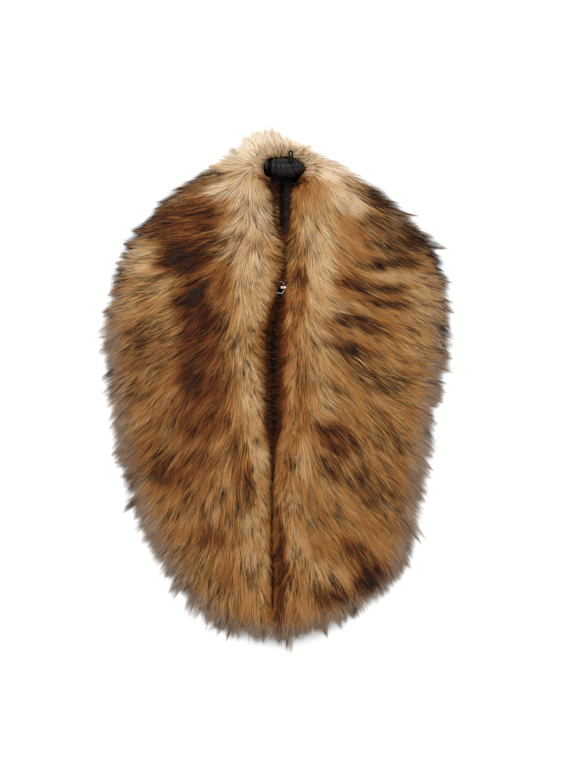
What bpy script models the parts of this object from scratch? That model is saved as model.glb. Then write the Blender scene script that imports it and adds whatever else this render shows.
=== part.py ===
"""A long-pile fur collar wrap, bent round at the nape and laid flat, fur side up.

Sizes are in millimetres and the meshes in metres. +Y points to the nape, +X to the right and +Z up.
The origin is on the surface that the wrap lies on, under the middle of its outline.

Each half is swept along the part line, where the two halves meet. A section runs outward from that
line to the tips of the pile, the way the hair lies, and the stations are the sections' places.
"""

import math
from collections import namedtuple

import bmesh
import bpy
import numpy as np

MM = 0.001

GAP = 0.3  # between pieces that touch
SATIN = 1.5  # thickness of the lining
STAND_HIGH = 14.0  # height of the lining's rolled neck edge
STAND_RUN = 4.0  # how far the rolled edge leans outward as it rises
STAND_WIDE = 1.6  # the rolled edge's width on its slope
STAND_BOW = 0.35  # share of that lean at half its height

PILE_OVERHANG = 32.0  # pile past the lining's outer edge
LIP_HIGH = 20.0  # where the pile of the neck edge leans in most
LIP_DROP = 3.0  # depth of the underside of that lip
TIP_THICK = 3.0  # pile's thickness at its tips
CROWN_ROUND = 2.3  # powers of the pile's fall from its parting ridge to its tips
CROWN_FALL = 0.95
LEAST_OPEN = 0.6  # from the part line to the pile where the halves touch
LEAST_SLANT = 0.25  # sine of the least angle at which a section's widths follow an edge

LOCK_PITCH = 10.0  # between stations, half a lock's width
LOCK_COLUMNS = 4  # a lock's length, in columns of the section
LOCK_HIGH = 5.5  # a lock's tip over the root of the next one
LOCK_SHOULDER = 0.35  # share of that height at a lock's sides
LOCK_GROOVE = 1.6  # depth between neighbouring locks
LOCK_FADE = 2.2  # how soon locks flatten towards the tips
FULL_LOCKS = 120.0  # sections shorter than this have lower locks
LOCK_NOSE = 0.45  # how far a lock's blunt tip is drawn back, in columns
TUFT_DEEP = 12.0  # between the tufts of the outline
TUFT_SHARE = 0.35  # the most of the pile's overhang that is tufted
TUFT_LEAN = 9.0  # how far the outline's tufts lean towards the tails
LEAN_AFTER = 10  # stations from the nape before they lean fully

INNER_COLUMNS = 5  # lip to parting ridge
OUTER_COLUMNS = 14  # parting ridge to tips
SEED = 7

# The part line, from the nape's seam down to the tails.
PartLine = namedtuple("PartLine", "x y")
PART_LINE = [
    PartLine(7.8, 261.0),
    PartLine(7.8, 259.8),
    PartLine(7.8, 256.8),
    PartLine(7.8, 252.6),
    PartLine(7.8, 245.4),
    PartLine(6.6, 231.0),
    PartLine(6.0, 209.4),
    PartLine(7.2, 185.4),
    PartLine(10.0, 163.8),
    PartLine(10.0, 142.0),
    PartLine(6.0, 124.2),
    PartLine(4.2, 106.2),
    PartLine(-4.2, 65.4),
    PartLine(-5.4, 11.4),
    PartLine(-4.8, -42.6),
    PartLine(-4.8, -84.6),
    PartLine(-5.4, -132.6),
    PartLine(-5.4, -180.6),
    PartLine(-4.2, -222.6),
    PartLine(-4.2, -252.6),
    PartLine(-4.2, -273.0),
]

# A row of each half for each row of the part line: the pile's tip, then distances out from the part
# line to the lining's neck edge, the pile's lip and the parting ridge, and the ridge's height.
Half = namedtuple("Half", "tip_x tip_y neck lip ridge high")
LEFT = [
    Half(7.8, 298.2, 10.5, 11.0, 22.0, 38.0),
    Half(-17.4, 304.2, 12.5, 13.0, 25.0, 41.0),
    Half(-48.6, 286.2, 22.0, 22.6, 35.0, 44.0),
    Half(-79.8, 262.2, 23.5, 24.0, 42.0, 46.0),
    Half(-111.0, 243.0, 20.0, 19.0, 44.0, 48.0),
    Half(-139.8, 219.0, 15.0, 12.0, 46.0, 50.0),
    Half(-165.0, 190.2, 14.0, 12.0, 48.0, 51.0),
    Half(-183.0, 159.0, 11.0, 9.0, 48.0, 52.0),
    Half(-197.4, 129.0, 6.0, 1.0, 48.0, 53.0),
    Half(-205.8, 97.8, 6.0, 1.0, 48.0, 53.0),
    Half(-209.4, 71.4, 7.6, 5.3, 46.0, 53.0),
    Half(-209.4, 39.0, 7.6, 5.5, 44.0, 52.0),
    Half(-204.6, -12.6, 10.0, 8.5, 40.0, 52.0),
    Half(-196.2, -69.0, 11.0, 9.5, 38.0, 51.0),
    Half(-180.6, -132.6, 10.0, 8.5, 36.0, 50.0),
    Half(-161.4, -184.2, 5.0, 3.0, 36.0, 48.0),
    Half(-137.4, -225.0, 3.5, 0.6, 36.0, 46.0),
    Half(-111.0, -262.2, 3.5, 0.6, 34.0, 43.0),
    Half(-82.2, -287.4, 3.5, 0.6, 30.0, 40.0),
    Half(-46.0, -302.5, 3.5, 0.6, 24.0, 36.0),
    Half(-10.5, -308.0, 3.5, 0.6, 14.0, 30.0),
]
RIGHT = [
    Half(7.8, 298.2, 10.5, 11.0, 22.0, 38.0),
    Half(31.8, 292.2, 14.5, 15.0, 26.0, 40.0),
    Half(61.8, 275.4, 23.5, 24.0, 35.0, 42.0),
    Half(90.6, 259.8, 26.5, 27.0, 40.0, 44.0),
    Half(119.4, 241.8, 20.0, 19.0, 36.0, 46.0),
    Half(145.8, 220.2, 14.0, 12.0, 34.0, 48.0),
    Half(171.0, 193.8, 14.0, 12.0, 32.0, 50.0),
    Half(190.2, 168.6, 11.0, 9.0, 30.0, 51.0),
    Half(202.2, 145.8, 6.0, 1.0, 28.0, 52.0),
    Half(208.2, 113.4, 6.0, 1.0, 28.0, 52.0),
    Half(209.4, 89.4, 7.6, 5.3, 28.0, 52.0),
    Half(209.4, 59.4, 7.6, 5.5, 28.0, 52.0),
    Half(204.6, 11.4, 10.0, 8.5, 30.0, 51.0),
    Half(193.8, -42.6, 11.0, 9.5, 32.0, 50.0),
    Half(185.4, -96.6, 10.0, 8.5, 32.0, 49.0),
    Half(177.0, -144.6, 5.0, 3.0, 32.0, 47.0),
    Half(167.4, -198.6, 3.5, 0.6, 32.0, 46.0),
    Half(144.6, -238.2, 3.5, 0.6, 32.0, 43.0),
    Half(106.2, -269.4, 3.5, 0.6, 30.0, 40.0),
    Half(56.0, -299.0, 3.5, 0.6, 24.0, 36.0),
    Half(2.1, -308.5, 3.5, 0.6, 14.0, 30.0),
]

# The nape's gather, from its folded left end to its blunt right end: the place of each section, its
# half width and its top.
Gather = namedtuple("Gather", "x y wide top")
GATHER = [
    Gather(-13.4, 261.0, 3.6, 39.0),
    Gather(-11.0, 261.0, 6.2, 43.0),
    Gather(-8.0, 260.0, 5.2, 42.0),
    Gather(-3.5, 259.0, 9.5, 45.0),
    Gather(4.0, 258.0, 11.4, 47.0),
    Gather(13.0, 258.0, 11.6, 47.5),
    Gather(21.0, 258.0, 10.6, 46.5),
    Gather(27.0, 258.0, 8.0, 44.0),
    Gather(31.0, 258.5, 4.8, 41.0),
    Gather(33.0, 259.0, 2.4, 38.5),
]
GATHER_FOLDS = 12
GATHER_FOLD_DEEP = 1.1
GATHER_FOLD_SIDE = 0.7  # share of that depth at its sides
GATHER_UNEVEN = 0.02  # how far the folds' spacing strays, as a share of its length
GATHER_SWAY = 0.5  # how far a fold strays sideways over the top
GATHER_FULL = 8.0  # half width from which the folds have their full depth
GATHER_WIDEST = 35.0  # height of its widest line
GATHER_BULGE = 0.8  # half width below that line
GATHER_STEM = 4.5  # half width where it stands on the lining
GATHER_STEM_RUN = 0.22  # share of its length, each side of its middle, that reaches the lining
GATHER_ROUND = 8  # sides over its top

LOOP_CORD = 2.0
LOOP_X = 17.0
LOOP_WIDE = 4.4
LOOP_FOOT_Y = 263.5
LOOP_END_Y = 276.8
LOOP_RISE = 3.6
LOOP_SEAT = 1.1  # from the gather's top to the loop's feet

CLASP_X = 5.2
CLASP_Y = 116.0
CLASP_TURN = -5.7  # degrees; the clasp lies across the part line
CLASP_Z = 14.8
WIRE = 1.0
EYE_WIDE = 8.6
EYE_LONG = 14.4
FOOT_RADIUS = 1.0
EYE_FOOT_X = 6.6
HOOK_FOOT_X = 7.0
HOOK_FOOT_Y = 2.4
HOOK_HALF = 0.8  # half the distance between the hook's two wires
HOOK_UNDER = 1.4  # how far the hook's wires pass under the eye
HOOK_BEND = 1.5  # radius of the hook's bend


def smooth(rows, at):
    """The values between a table's rows, on curves through them; at holds row numbers."""
    points = np.array(rows, float)
    points = np.vstack([2 * points[0] - points[1], points, 2 * points[-1] - points[-2]])
    row = np.clip(at.astype(int), 0, len(rows) - 2)
    t = (at - row)[:, None]
    a, b, c, d = (points[row + k] for k in range(4))
    curve = 2 * b + (c - a) * t + (2 * a - 5 * b + 4 * c - d) * t**2
    return 0.5 * (curve + (3 * b - a - 3 * c + d) * t**3)


def even_stations():
    """Row numbers that lie a lock's half width apart along the outline."""
    dense = np.linspace(0, len(PART_LINE) - 1, 2000)
    run = np.zeros(len(dense))
    for rows in (LEFT, RIGHT):
        tips = smooth(rows, dense)[:, :2]
        steps = np.linalg.norm(np.diff(tips, axis=0), axis=1)
        run[1:] += np.cumsum(steps) / 2
    count = 2 * round(run[-1] / LOCK_PITCH / 2)
    return np.interp(np.linspace(0, run[-1], count + 1), run, dense)


class Stations:
    """One half's sections: where each starts, which way it runs and its sizes."""

    def __init__(self, rows, side, at):
        self.side = side
        shift = np.array([side * GAP / 2, 0.0])
        self.base = smooth(PART_LINE, at) + shift
        values = smooth(rows, at)
        span = values[:, :2] + shift - self.base
        self.reach = np.linalg.norm(span, axis=1)
        self.out = span / self.reach[:, None]
        # Towards the tails, square to the section.
        self.down = side * np.stack([self.out[:, 1], -self.out[:, 0]], 1)
        self.neck, self.lip, self.ridge, self.high = values[:, 2:].T
        self.lip = np.maximum(self.lip, LEAST_OPEN)
        self.foot = np.maximum(self.neck - STAND_RUN, LEAST_OPEN)
        self.overhang = np.minimum(PILE_OVERHANG, self.reach / 2)
        self.hide = self.reach - self.overhang
        # Widths and gaps along the section, which crosses these edges on a slant.
        neck_slant = self.slant(self.base)
        self.hide_gap = GAP / self.slant(self.base + self.out * self.hide[:, None])
        self.neck_gap = GAP / neck_slant
        self.stand = STAND_WIDE / neck_slant

    def slant(self, edge):
        """Sine of the angle at which each section crosses an edge."""
        along = np.gradient(edge, axis=0)
        along /= np.linalg.norm(along, axis=1)[:, None]
        sine = np.abs(self.out[:, 0] * along[:, 1] - self.out[:, 1] * along[:, 0])
        return np.maximum(sine, LEAST_SLANT)

    def ring(self, i, section):
        """World points of section i, given as distance out, distance down and height."""
        points = []
        for far, down, high in section:
            x, y = self.base[i] + self.out[i] * far + self.down[i] * down
            points.append((x * MM, y * MM, high * MM))
        return points

    def __len__(self):
        return len(self.reach)


def fur_profile(t, high):
    """Height of the pile a share t of the way from the parting ridge to the tips."""
    return TIP_THICK + (high - TIP_THICK) * (1 - t**CROWN_ROUND) ** CROWN_FALL


def lock_rise(i, column, phase):
    """A lock's height at a station and column, and how far back its end lies, in columns."""
    spine = i % 2 == 0
    stagger = LOCK_COLUMNS // 2 * (i // 2 % 2)
    along = (column + stagger + phase) % LOCK_COLUMNS
    climb = LOCK_HIGH * along / (LOCK_COLUMNS - 1)
    nose = LOCK_NOSE if along == 0 else 0.0
    return (climb if spine else LOCK_SHOULDER * climb - LOCK_GROOVE), nose


def fur_inner(stations, i, size):
    """The pile's top from the lip, rounding up to the parting ridge."""
    lip, ridge, high = stations.lip[i], stations.ridge[i], stations.high[i]
    groove = LOCK_GROOVE * size * (1 if i % 2 == 0 else -1)
    points = []
    for k in range(INNER_COLUMNS):
        turn = math.pi / 2 * k / INNER_COLUMNS
        far = lip + (ridge - lip) * (1 - math.cos(turn))
        points.append((far, 0.0, LIP_HIGH + (high - LIP_HIGH + groove) * math.sin(turn)))
    return points


def fur_outer(stations, i, size, reach, lean, phase):
    """The pile's top from the parting ridge to the tips, in overlapping locks."""
    ridge, high = stations.ridge[i], stations.high[i]
    column_wide = (reach - ridge) / OUTER_COLUMNS
    points = []
    for k in range(OUTER_COLUMNS + 1):
        t = k / OUTER_COLUMNS
        rise, nose = lock_rise(i, k, phase)
        if size == 0 or k in (0, OUTER_COLUMNS):
            nose = 0.0
        rise *= size * min(1.0, LOCK_FADE * (1 - t))
        points.append((ridge + column_wide * (k - nose), lean * t**3, fur_profile(t, high) + rise))
    return points


def fur_underside(stations, i, reach, lean):
    """The pile's underside: on the surface past the lining, over it, and up behind its stand."""
    neck, foot = stations.neck[i], stations.foot[i]
    under = SATIN + GAP
    wall = stations.stand[i] + stations.neck_gap[i]
    hide = stations.hide[i] + stations.hide_gap[i]
    middle = foot + STAND_BOW * (neck - foot)
    return [
        (reach, lean, 0.0),
        (hide, 0.0, 0.0),
        (hide, 0.0, under),
        (foot + wall, 0.0, under),
        (middle + wall, 0.0, (under + STAND_HIGH) / 2),
        (neck + wall, 0.0, STAND_HIGH),
        (neck + wall, 0.0, LIP_HIGH - LIP_DROP),
    ]


def fur_section(stations, i, noise):
    """Section i of the pile, all round. Every other one is a lock's spine, and its tip a tuft's."""
    at_end = i in (0, len(stations) - 1)
    spine = i % 2 == 0
    size = 0.0 if at_end else min(1.0, stations.reach[i] / FULL_LOCKS)
    tuft = min(TUFT_DEEP, TUFT_SHARE * stations.overhang[i]) * noise.uniform(0.7, 1.15)
    reach = stations.reach[i] - (0.0 if spine else tuft)
    lean = 0.0 if at_end else TUFT_LEAN * min(1.0, i / LEAN_AFTER) * (1.0 if spine else 0.5)
    phase = noise.integers(0, 2)
    outer = fur_outer(stations, i, size, reach, lean, phase)
    return fur_inner(stations, i, size) + outer + fur_underside(stations, i, reach, lean)


def lining_section(stations, i):
    """Section i of the lining: flat under the fur, folded back and rolled up at the neck edge."""
    neck, foot, hide = stations.neck[i], stations.foot[i], stations.hide[i]
    stand = stations.stand[i]
    middle = foot + STAND_BOW * (neck - foot)
    half_way = (SATIN + GAP + STAND_HIGH) / 2
    return [
        (0.0, 0.0, 0.0),
        (hide, 0.0, 0.0),
        (hide, 0.0, SATIN),
        (foot + stand, 0.0, SATIN),
        (middle + stand, 0.0, half_way),
        (neck + stand, 0.0, STAND_HIGH),
        (neck, 0.0, STAND_HIGH),
        (middle, 0.0, half_way),
        (foot, 0.0, 2 * SATIN),
        (0.0, 0.0, 2 * SATIN),
    ]


def clear_scene():
    for thing in list(bpy.data.objects):
        bpy.data.objects.remove(thing, do_unlink=True)


def material(name, colour, roughness, metallic=0.0):
    made = bpy.data.materials.new(name)
    made.use_nodes = True
    shader = made.node_tree.nodes["Principled BSDF"]
    shader.inputs["Base Color"].default_value = (*colour, 1.0)
    shader.inputs["Roughness"].default_value = roughness
    shader.inputs["Metallic"].default_value = metallic
    return made


def place(name, data, finish):
    data.materials.append(finish)
    thing = bpy.data.objects.new(name, data)
    bpy.context.collection.objects.link(thing)
    return thing


def swept(name, rings, finish):
    """A closed solid through rings of points, with its two ends filled."""
    mesh = bmesh.new()
    rows = [[mesh.verts.new(point) for point in ring] for ring in rings]
    for row, after in zip(rows, rows[1:]):
        for k in range(len(row)):
            j = (k + 1) % len(row)
            mesh.faces.new((row[k], row[j], after[j], after[k]))
    ends = [mesh.faces.new(rows[0]), mesh.faces.new(rows[-1])]
    mesh.normal_update()
    bmesh.ops.triangulate(mesh, faces=ends)
    bmesh.ops.recalc_face_normals(mesh, faces=mesh.faces)
    data = bpy.data.meshes.new(name)
    mesh.to_mesh(data)
    mesh.free()
    data.shade_smooth()
    data.set_sharp_from_angle(angle=math.radians(50))
    return place(name, data, finish)


def bent(name, points, thick, resolution, finish):
    """A bent wire or cord through points in millimetres, with its ends filled."""
    curve = bpy.data.curves.new(name, "CURVE")
    curve.dimensions = "3D"
    curve.bevel_depth = thick / 2 * MM
    curve.bevel_resolution = resolution
    curve.use_fill_caps = True
    line = curve.splines.new("POLY")
    line.points.add(len(points) - 1)
    for spot, (x, y, z) in zip(line.points, points):
        spot.co = (x * MM, y * MM, z * MM, 1.0)
    return place(name, curve, finish)


def arc(x, y, wide, long, start, end, count):
    """Points round an ellipse, from one angle to another in degrees."""
    turns = np.radians(np.linspace(start, end, count))
    return [(x + wide * math.cos(turn), y + long * math.sin(turn)) for turn in turns]


def make_fur(name, stations, finish):
    noise = np.random.default_rng(SEED if stations.side < 0 else SEED + 1)
    rings = []
    for i in range(len(stations)):
        rings.append(stations.ring(i, fur_section(stations, i, noise)))
    return swept(name, rings, finish)


def make_lining(name, stations, finish):
    rings = [stations.ring(i, lining_section(stations, i)) for i in range(len(stations))]
    return swept(name, rings, finish)


def gather_shape(share):
    """The gather a share of the way along: place, half width and top, with its folds."""
    x, y, wide, top = smooth(GATHER, np.array([share * (len(GATHER) - 1)]))[0]
    turns = GATHER_FOLDS * (share + GATHER_UNEVEN * math.sin(9 * share))
    fold = GATHER_FOLD_DEEP * math.cos(2 * math.pi * turns) * min(1.0, wide / GATHER_FULL)
    return x, y, wide + GATHER_FOLD_SIDE * fold, top + fold


def gather_section(share, sway):
    """A section of the gather: pleated over the top, narrow where it stands on the lining."""
    x, y, wide, top = gather_shape(share)
    floor = 2 * SATIN + GAP
    off = (abs(share - 0.5) - GATHER_STEM_RUN) / (0.5 - GATHER_STEM_RUN)
    lift = max(0.0, off) ** 1.5
    low = floor + (GATHER_WIDEST - 2 * SATIN - floor) * lift
    deep = GATHER_WIDEST - low
    stem = min(GATHER_STEM, 0.6 * wide)
    points = []
    for side in range(GATHER_ROUND + 1):
        turn = math.pi * side / GATHER_ROUND
        high = GATHER_WIDEST + (top - GATHER_WIDEST) * math.sin(turn)
        points.append((x + sway * math.sin(turn), y + wide * math.cos(turn), high))
    points += [
        (x, y - GATHER_BULGE * wide, low + 0.55 * deep),
        (x, y - stem, low + 0.15 * deep),
        (x, y - stem, low),
        (x, y + stem, low),
        (x, y + stem, low + 0.15 * deep),
        (x, y + GATHER_BULGE * wide, low + 0.55 * deep),
    ]
    return [(a * MM, b * MM, c * MM) for a, b, c in points]


def make_gather(finish):
    """A ruched bag of satin that stands in the top of the channel."""
    count = 4 * GATHER_FOLDS
    rings = [gather_section(k / count, GATHER_SWAY * math.sin(3 * k)) for k in range(count + 1)]
    return swept("nape_gather", rings, finish)


def gather_top(x, y):
    """Height of the gather over a point."""
    shapes = [gather_shape(share) for share in np.linspace(0, 1, 200)]
    _, middle, wide, top = min(shapes, key=lambda shape: abs(shape[0] - x))
    return GATHER_WIDEST + (top - GATHER_WIDEST) * math.sqrt(max(0.0, 1 - ((y - middle) / wide) ** 2))


def make_loop(finish):
    """A narrow loop of cord, up from the gather and over towards the nape."""
    half = LOOP_WIDE / 2
    seat = max(gather_top(LOOP_X - half, LOOP_FOOT_Y), gather_top(LOOP_X + half, LOOP_FOOT_Y))
    low = seat + LOOP_SEAT
    high = low + LOOP_RISE
    bend = LOOP_RISE * 0.8
    side = [(half, LOOP_FOOT_Y, low)]
    for turn in np.radians(np.linspace(0, 90, 6)):
        spot = (half, LOOP_FOOT_Y + bend * (1 - math.cos(turn)), high - bend * (1 - math.sin(turn)))
        side.append(spot)
    straight = LOOP_END_Y - half
    side.append((half * 0.8, (LOOP_FOOT_Y + bend + straight) / 2, high + 0.4))
    end = [(half * math.cos(t), straight + half * math.sin(t), high) for t in np.radians((0, 30, 60, 90))]
    right = side + end
    left = [(-x, y, z) for x, y, z in reversed(right[:-1])]
    points = [(LOOP_X + x, y, z) for x, y, z in right + left]
    return bent("hanging_loop", points, LOOP_CORD, 2, finish)


def clasp_points(points):
    """Turns points round the clasp's middle and puts them in their place."""
    turn = math.radians(CLASP_TURN)
    cos, sin = math.cos(turn), math.sin(turn)
    return [(CLASP_X + x * cos - y * sin, CLASP_Y + x * sin + y * cos, CLASP_Z + z) for x, y, z in points]


def make_eye(finish):
    """An open ring of wire with a sewing loop at each end, on the left neck edge."""
    foot_y = EYE_LONG / 2 - 2 * FOOT_RADIUS
    flat = arc(-EYE_FOOT_X, foot_y, FOOT_RADIUS, FOOT_RADIUS, -20, -270, 9)
    flat += arc(0, 0, EYE_WIDE / 2, EYE_LONG / 2, 112, -112, 19)
    flat += arc(-EYE_FOOT_X, -foot_y, FOOT_RADIUS, FOOT_RADIUS, -90, -340, 9)
    return bent("clasp_eye", clasp_points([(x, y, 0.0) for x, y in flat]), WIRE, 1, finish)


def make_hook(finish):
    """A doubled wire from the right neck edge, under the eye's bar and back over it."""
    bend_x = 1.0
    under = -HOOK_UNDER
    over = under + 2 * HOOK_BEND
    upper = [(x, y, 0.0) for x, y in arc(HOOK_FOOT_X, HOOK_FOOT_Y, FOOT_RADIUS, FOOT_RADIUS, 160, -90, 8)]
    upper += [(5.6, 1.05, under * 0.6), (4.8, HOOK_HALF, under)]
    for turn in np.radians(np.linspace(-90, -270, 8)):
        spot = (bend_x + HOOK_BEND * math.cos(turn), HOOK_HALF, under + HOOK_BEND * (1 + math.sin(turn)))
        upper.append(spot)
    upper += [(4.4, HOOK_HALF, over), (5.2, HOOK_HALF, over + 0.2)]
    nose = [(5.2 + x, y, over + 0.3) for x, y in arc(0.4, 0, HOOK_HALF, HOOK_HALF, 60, -60, 5)]
    lower = [(x, -y, z) for x, y, z in reversed(upper)]
    return bent("clasp_hook", clasp_points(upper + nose + lower), WIRE, 1, finish)


def main():
    clear_scene()
    fur = material("fur", (0.36, 0.19, 0.08), 0.85)
    satin = material("satin", (0.012, 0.012, 0.014), 0.38)
    metal = material("metal", (0.62, 0.62, 0.64), 0.25, 1.0)
    at = even_stations()
    for name, rows, side in (("left", LEFT, -1), ("right", RIGHT, 1)):
        stations = Stations(rows, side, at)
        make_fur("fur_" + name, stations, fur)
        make_lining("lining_" + name, stations, satin)
    make_gather(satin)
    make_loop(satin)
    make_eye(metal)
    make_hook(metal)


main()
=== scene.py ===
"""Looks of a long-pile fur collar wrap, laid flat: hair, undercoat, satin lining and small trim.

Sizes are in millimetres and the meshes in metres, in the frame of the CAD part: +Y to the nape,
+X to the right, +Z off the surface. Each half is described by sections that run outward from the
part line, where the halves meet, to the tips of the pile. A place on a half is a row of the tables
and a distance outward, called far.
"""

import math
from collections import namedtuple

import bpy
import numpy as np
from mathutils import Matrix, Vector


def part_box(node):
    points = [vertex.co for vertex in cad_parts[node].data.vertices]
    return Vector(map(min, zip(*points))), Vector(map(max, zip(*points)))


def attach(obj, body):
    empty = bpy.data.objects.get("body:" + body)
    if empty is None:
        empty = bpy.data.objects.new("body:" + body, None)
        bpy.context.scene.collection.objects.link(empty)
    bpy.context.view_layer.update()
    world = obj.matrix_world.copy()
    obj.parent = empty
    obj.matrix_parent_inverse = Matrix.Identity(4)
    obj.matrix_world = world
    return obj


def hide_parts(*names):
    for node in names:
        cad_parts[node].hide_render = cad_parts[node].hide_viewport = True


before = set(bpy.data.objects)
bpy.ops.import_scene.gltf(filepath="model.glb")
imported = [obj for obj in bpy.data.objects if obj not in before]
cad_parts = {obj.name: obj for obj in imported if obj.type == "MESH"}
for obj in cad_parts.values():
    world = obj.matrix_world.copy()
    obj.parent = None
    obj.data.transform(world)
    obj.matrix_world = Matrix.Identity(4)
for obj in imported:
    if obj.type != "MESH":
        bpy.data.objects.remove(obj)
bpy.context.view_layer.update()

MM = 0.001
PHOTO_SCALE = 1.2  # mm to a pixel of the photo
PHOTO_HIGH = 768  # pixels
VIEW_CENTRE = (13.8, 0.6)  # the photo's middle


def table(columns, *rows):
    """Rows with named columns."""
    row_type = namedtuple("Row", columns)
    return [row_type(*row) for row in rows]


# ---------------------------------------------------------------- the wrap's form, as in the CAD

GAP = 0.3  # between pieces
SATIN = 1.5  # thickness
STAND_HIGH = 14.0  # of the lining that stands up at the neck edge
STAND_RUN = 4.0
STAND_WIDE = 1.6
STAND_BOW = 0.35
PILE_OVERHANG = 32.0  # of the pile past the hide
LIP_HIGH = 20.0
TIP_THICK = 3.0
CROWN_ROUND, CROWN_FALL = 2.3, 0.95  # of the section outside the ridge
LEAST_OPEN = 0.6

PART_LINE = table(
    "x y",
    (7.8, 261),
    (7.8, 259.8),
    (7.8, 256.8),
    (7.8, 252.6),
    (7.8, 245.4),
    (6.6, 231),
    (6, 209.4),
    (7.2, 185.4),
    (10, 163.8),
    (10, 142),
    (6, 124.2),
    (4.2, 106.2),
    (-4.2, 65.4),
    (-5.4, 11.4),
    (-4.8, -42.6),
    (-4.8, -84.6),
    (-5.4, -132.6),
    (-5.4, -180.6),
    (-4.2, -222.6),
    (-4.2, -252.6),
    (-4.2, -273),
)

# The pile's tip, then distances out from the part line to the lining's neck edge, the pile's lip
# and the parting ridge, and the ridge's height.
LEFT = table(
    "tip_x tip_y neck lip ridge high",
    (7.8, 298.2, 10.5, 11, 22, 38),
    (-17.4, 304.2, 12.5, 13, 25, 41),
    (-48.6, 286.2, 22, 22.6, 35, 44),
    (-79.8, 262.2, 23.5, 24, 42, 46),
    (-111, 243, 20, 19, 44, 48),
    (-139.8, 219, 15, 12, 46, 50),
    (-165, 190.2, 14, 12, 48, 51),
    (-183, 159, 11, 9, 48, 52),
    (-197.4, 129, 6, 1, 48, 53),
    (-205.8, 97.8, 6, 1, 48, 53),
    (-209.4, 71.4, 7.6, 5.3, 46, 53),
    (-209.4, 39, 7.6, 5.5, 44, 52),
    (-204.6, -12.6, 10, 8.5, 40, 52),
    (-196.2, -69, 11, 9.5, 38, 51),
    (-180.6, -132.6, 10, 8.5, 36, 50),
    (-161.4, -184.2, 5, 3, 36, 48),
    (-137.4, -225, 3.5, 0.6, 36, 46),
    (-111, -262.2, 3.5, 0.6, 34, 43),
    (-82.2, -287.4, 3.5, 0.6, 30, 40),
    (-46, -302.5, 3.5, 0.6, 24, 36),
    (-10.5, -308, 3.5, 0.6, 14, 30),
)
RIGHT = table(
    "tip_x tip_y neck lip ridge high",
    (7.8, 298.2, 10.5, 11, 22, 38),
    (31.8, 292.2, 14.5, 15, 26, 40),
    (61.8, 275.4, 23.5, 24, 35, 42),
    (90.6, 259.8, 26.5, 27, 40, 44),
    (119.4, 241.8, 20, 19, 36, 46),
    (145.8, 220.2, 14, 12, 34, 48),
    (171, 193.8, 14, 12, 32, 50),
    (190.2, 168.6, 11, 9, 30, 51),
    (202.2, 145.8, 6, 1, 28, 52),
    (208.2, 113.4, 6, 1, 28, 52),
    (209.4, 89.4, 7.6, 5.3, 28, 52),
    (209.4, 59.4, 7.6, 5.5, 28, 52),
    (204.6, 11.4, 10, 8.5, 30, 51),
    (193.8, -42.6, 11, 9.5, 32, 50),
    (185.4, -96.6, 10, 8.5, 32, 49),
    (177, -144.6, 5, 3, 32, 47),
    (167.4, -198.6, 3.5, 0.6, 32, 46),
    (144.6, -238.2, 3.5, 0.6, 32, 43),
    (106.2, -269.4, 3.5, 0.6, 30, 40),
    (56, -299, 3.5, 0.6, 24, 36),
    (2.1, -308.5, 3.5, 0.6, 14, 30),
)

GATHER = table(
    "x y wide top",
    (-13.4, 261, 3.6, 39),
    (-11, 261, 6.2, 43),
    (-8, 260, 5.2, 42),
    (-3.5, 259, 9.5, 45),
    (4, 258, 11.4, 47),
    (13, 258, 11.6, 47.5),
    (21, 258, 10.6, 46.5),
    (27, 258, 8, 44),
    (31, 258.5, 4.8, 41),
    (33, 259, 2.4, 38.5),
)

# ---------------------------------------------------------------- how the hair lies

# The way the hair points, in degrees below straight outward, so that 90 is towards the tails: at
# the lip, on the parting ridge, NEAR past it and at the outline, for a row of the tables above.
NEAR = 35.0
LEFT_FLOW = table(
    "row lip ridge near edge",
    (0, -90, -90, -90, -90),
    (1, -80, -80, -75, -72),
    (2, -45, -42, -38, -33),
    (3, 120, 15, 0, -6),
    (4, 165, 55, 6, 4),
    (6, 170, 60, 8, 8),
    (8, 170, 72, 20, 12),
    (10, 165, 82, 36, 20),
    (12, 160, 88, 52, 30),
    (14, 150, 92, 68, 45),
    (16, 130, 92, 75, 55),
    (18, 112, 92, 82, 68),
    (20, 92, 90, 90, 88),
)
RIGHT_FLOW = table(
    "row lip ridge near edge",
    (0, -90, -90, -90, -90),
    (1, -70, -68, -60, -52),
    (2, -25, -20, -12, -8),
    (3, 70, 30, 18, 15),
    (4, 140, 60, 30, 20),
    (6, 140, 80, 42, 8),
    (8, 140, 80, 34, 10),
    (10, 140, 82, 38, 16),
    (12, 135, 84, 44, 25),
    (14, 125, 84, 50, 38),
    (16, 115, 86, 56, 48),
    (18, 105, 88, 70, 65),
    (20, 92, 90, 90, 90),
)

# Coats of hair. Lengths are in mm. Share is of all hairs, deep is how far under the pile's top the tips
# may end, clump how far the hairs of a lock draw together, spike how far the tips of locks at the
# outline lie apart, past how far they may pass it, start how far inside the hide's edge the roots
# begin, tips the share of dark tips it has more than the patches give, few the share of the wisps
# that have it.
COATS = table(
    "name share length wide deep points clump spike past start tips few",
    ("underfur", 0.44, 34, 0.66, 6, 3, 0.40, 18, -2, 500, 0, 1),
    ("guard", 0.48, 50, 0.62, 2, 4, 0.72, 20, 5, 500, 0, 1),
    ("edge", 0.05, 62, 0.62, 3, 5, 0.90, 18, 10, 26, 0.60, 1),
    ("stray", 0.03, 80, 0.36, 3, 5, 0.92, 22, 16, 30, 0.90, 0.14),
)

# How far the hair hangs over the channel.
OVER = table(
    "y left right",
    (-300, 4, 4),
    (-100, 4, 4),
    (-60, 5, 4),
    (-30, 9, 3),
    (45, 9, 2.5),
    (70, 5, 4),
    (104, 4, 4),
    (116, 3, 1.5),
    (128, 5, 4.5),
    (150, 6, 5),
    (190, 10, 6),
    (222, 12, 5),
    (236, 8, 2),
    (244, 3, 1),
)

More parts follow.
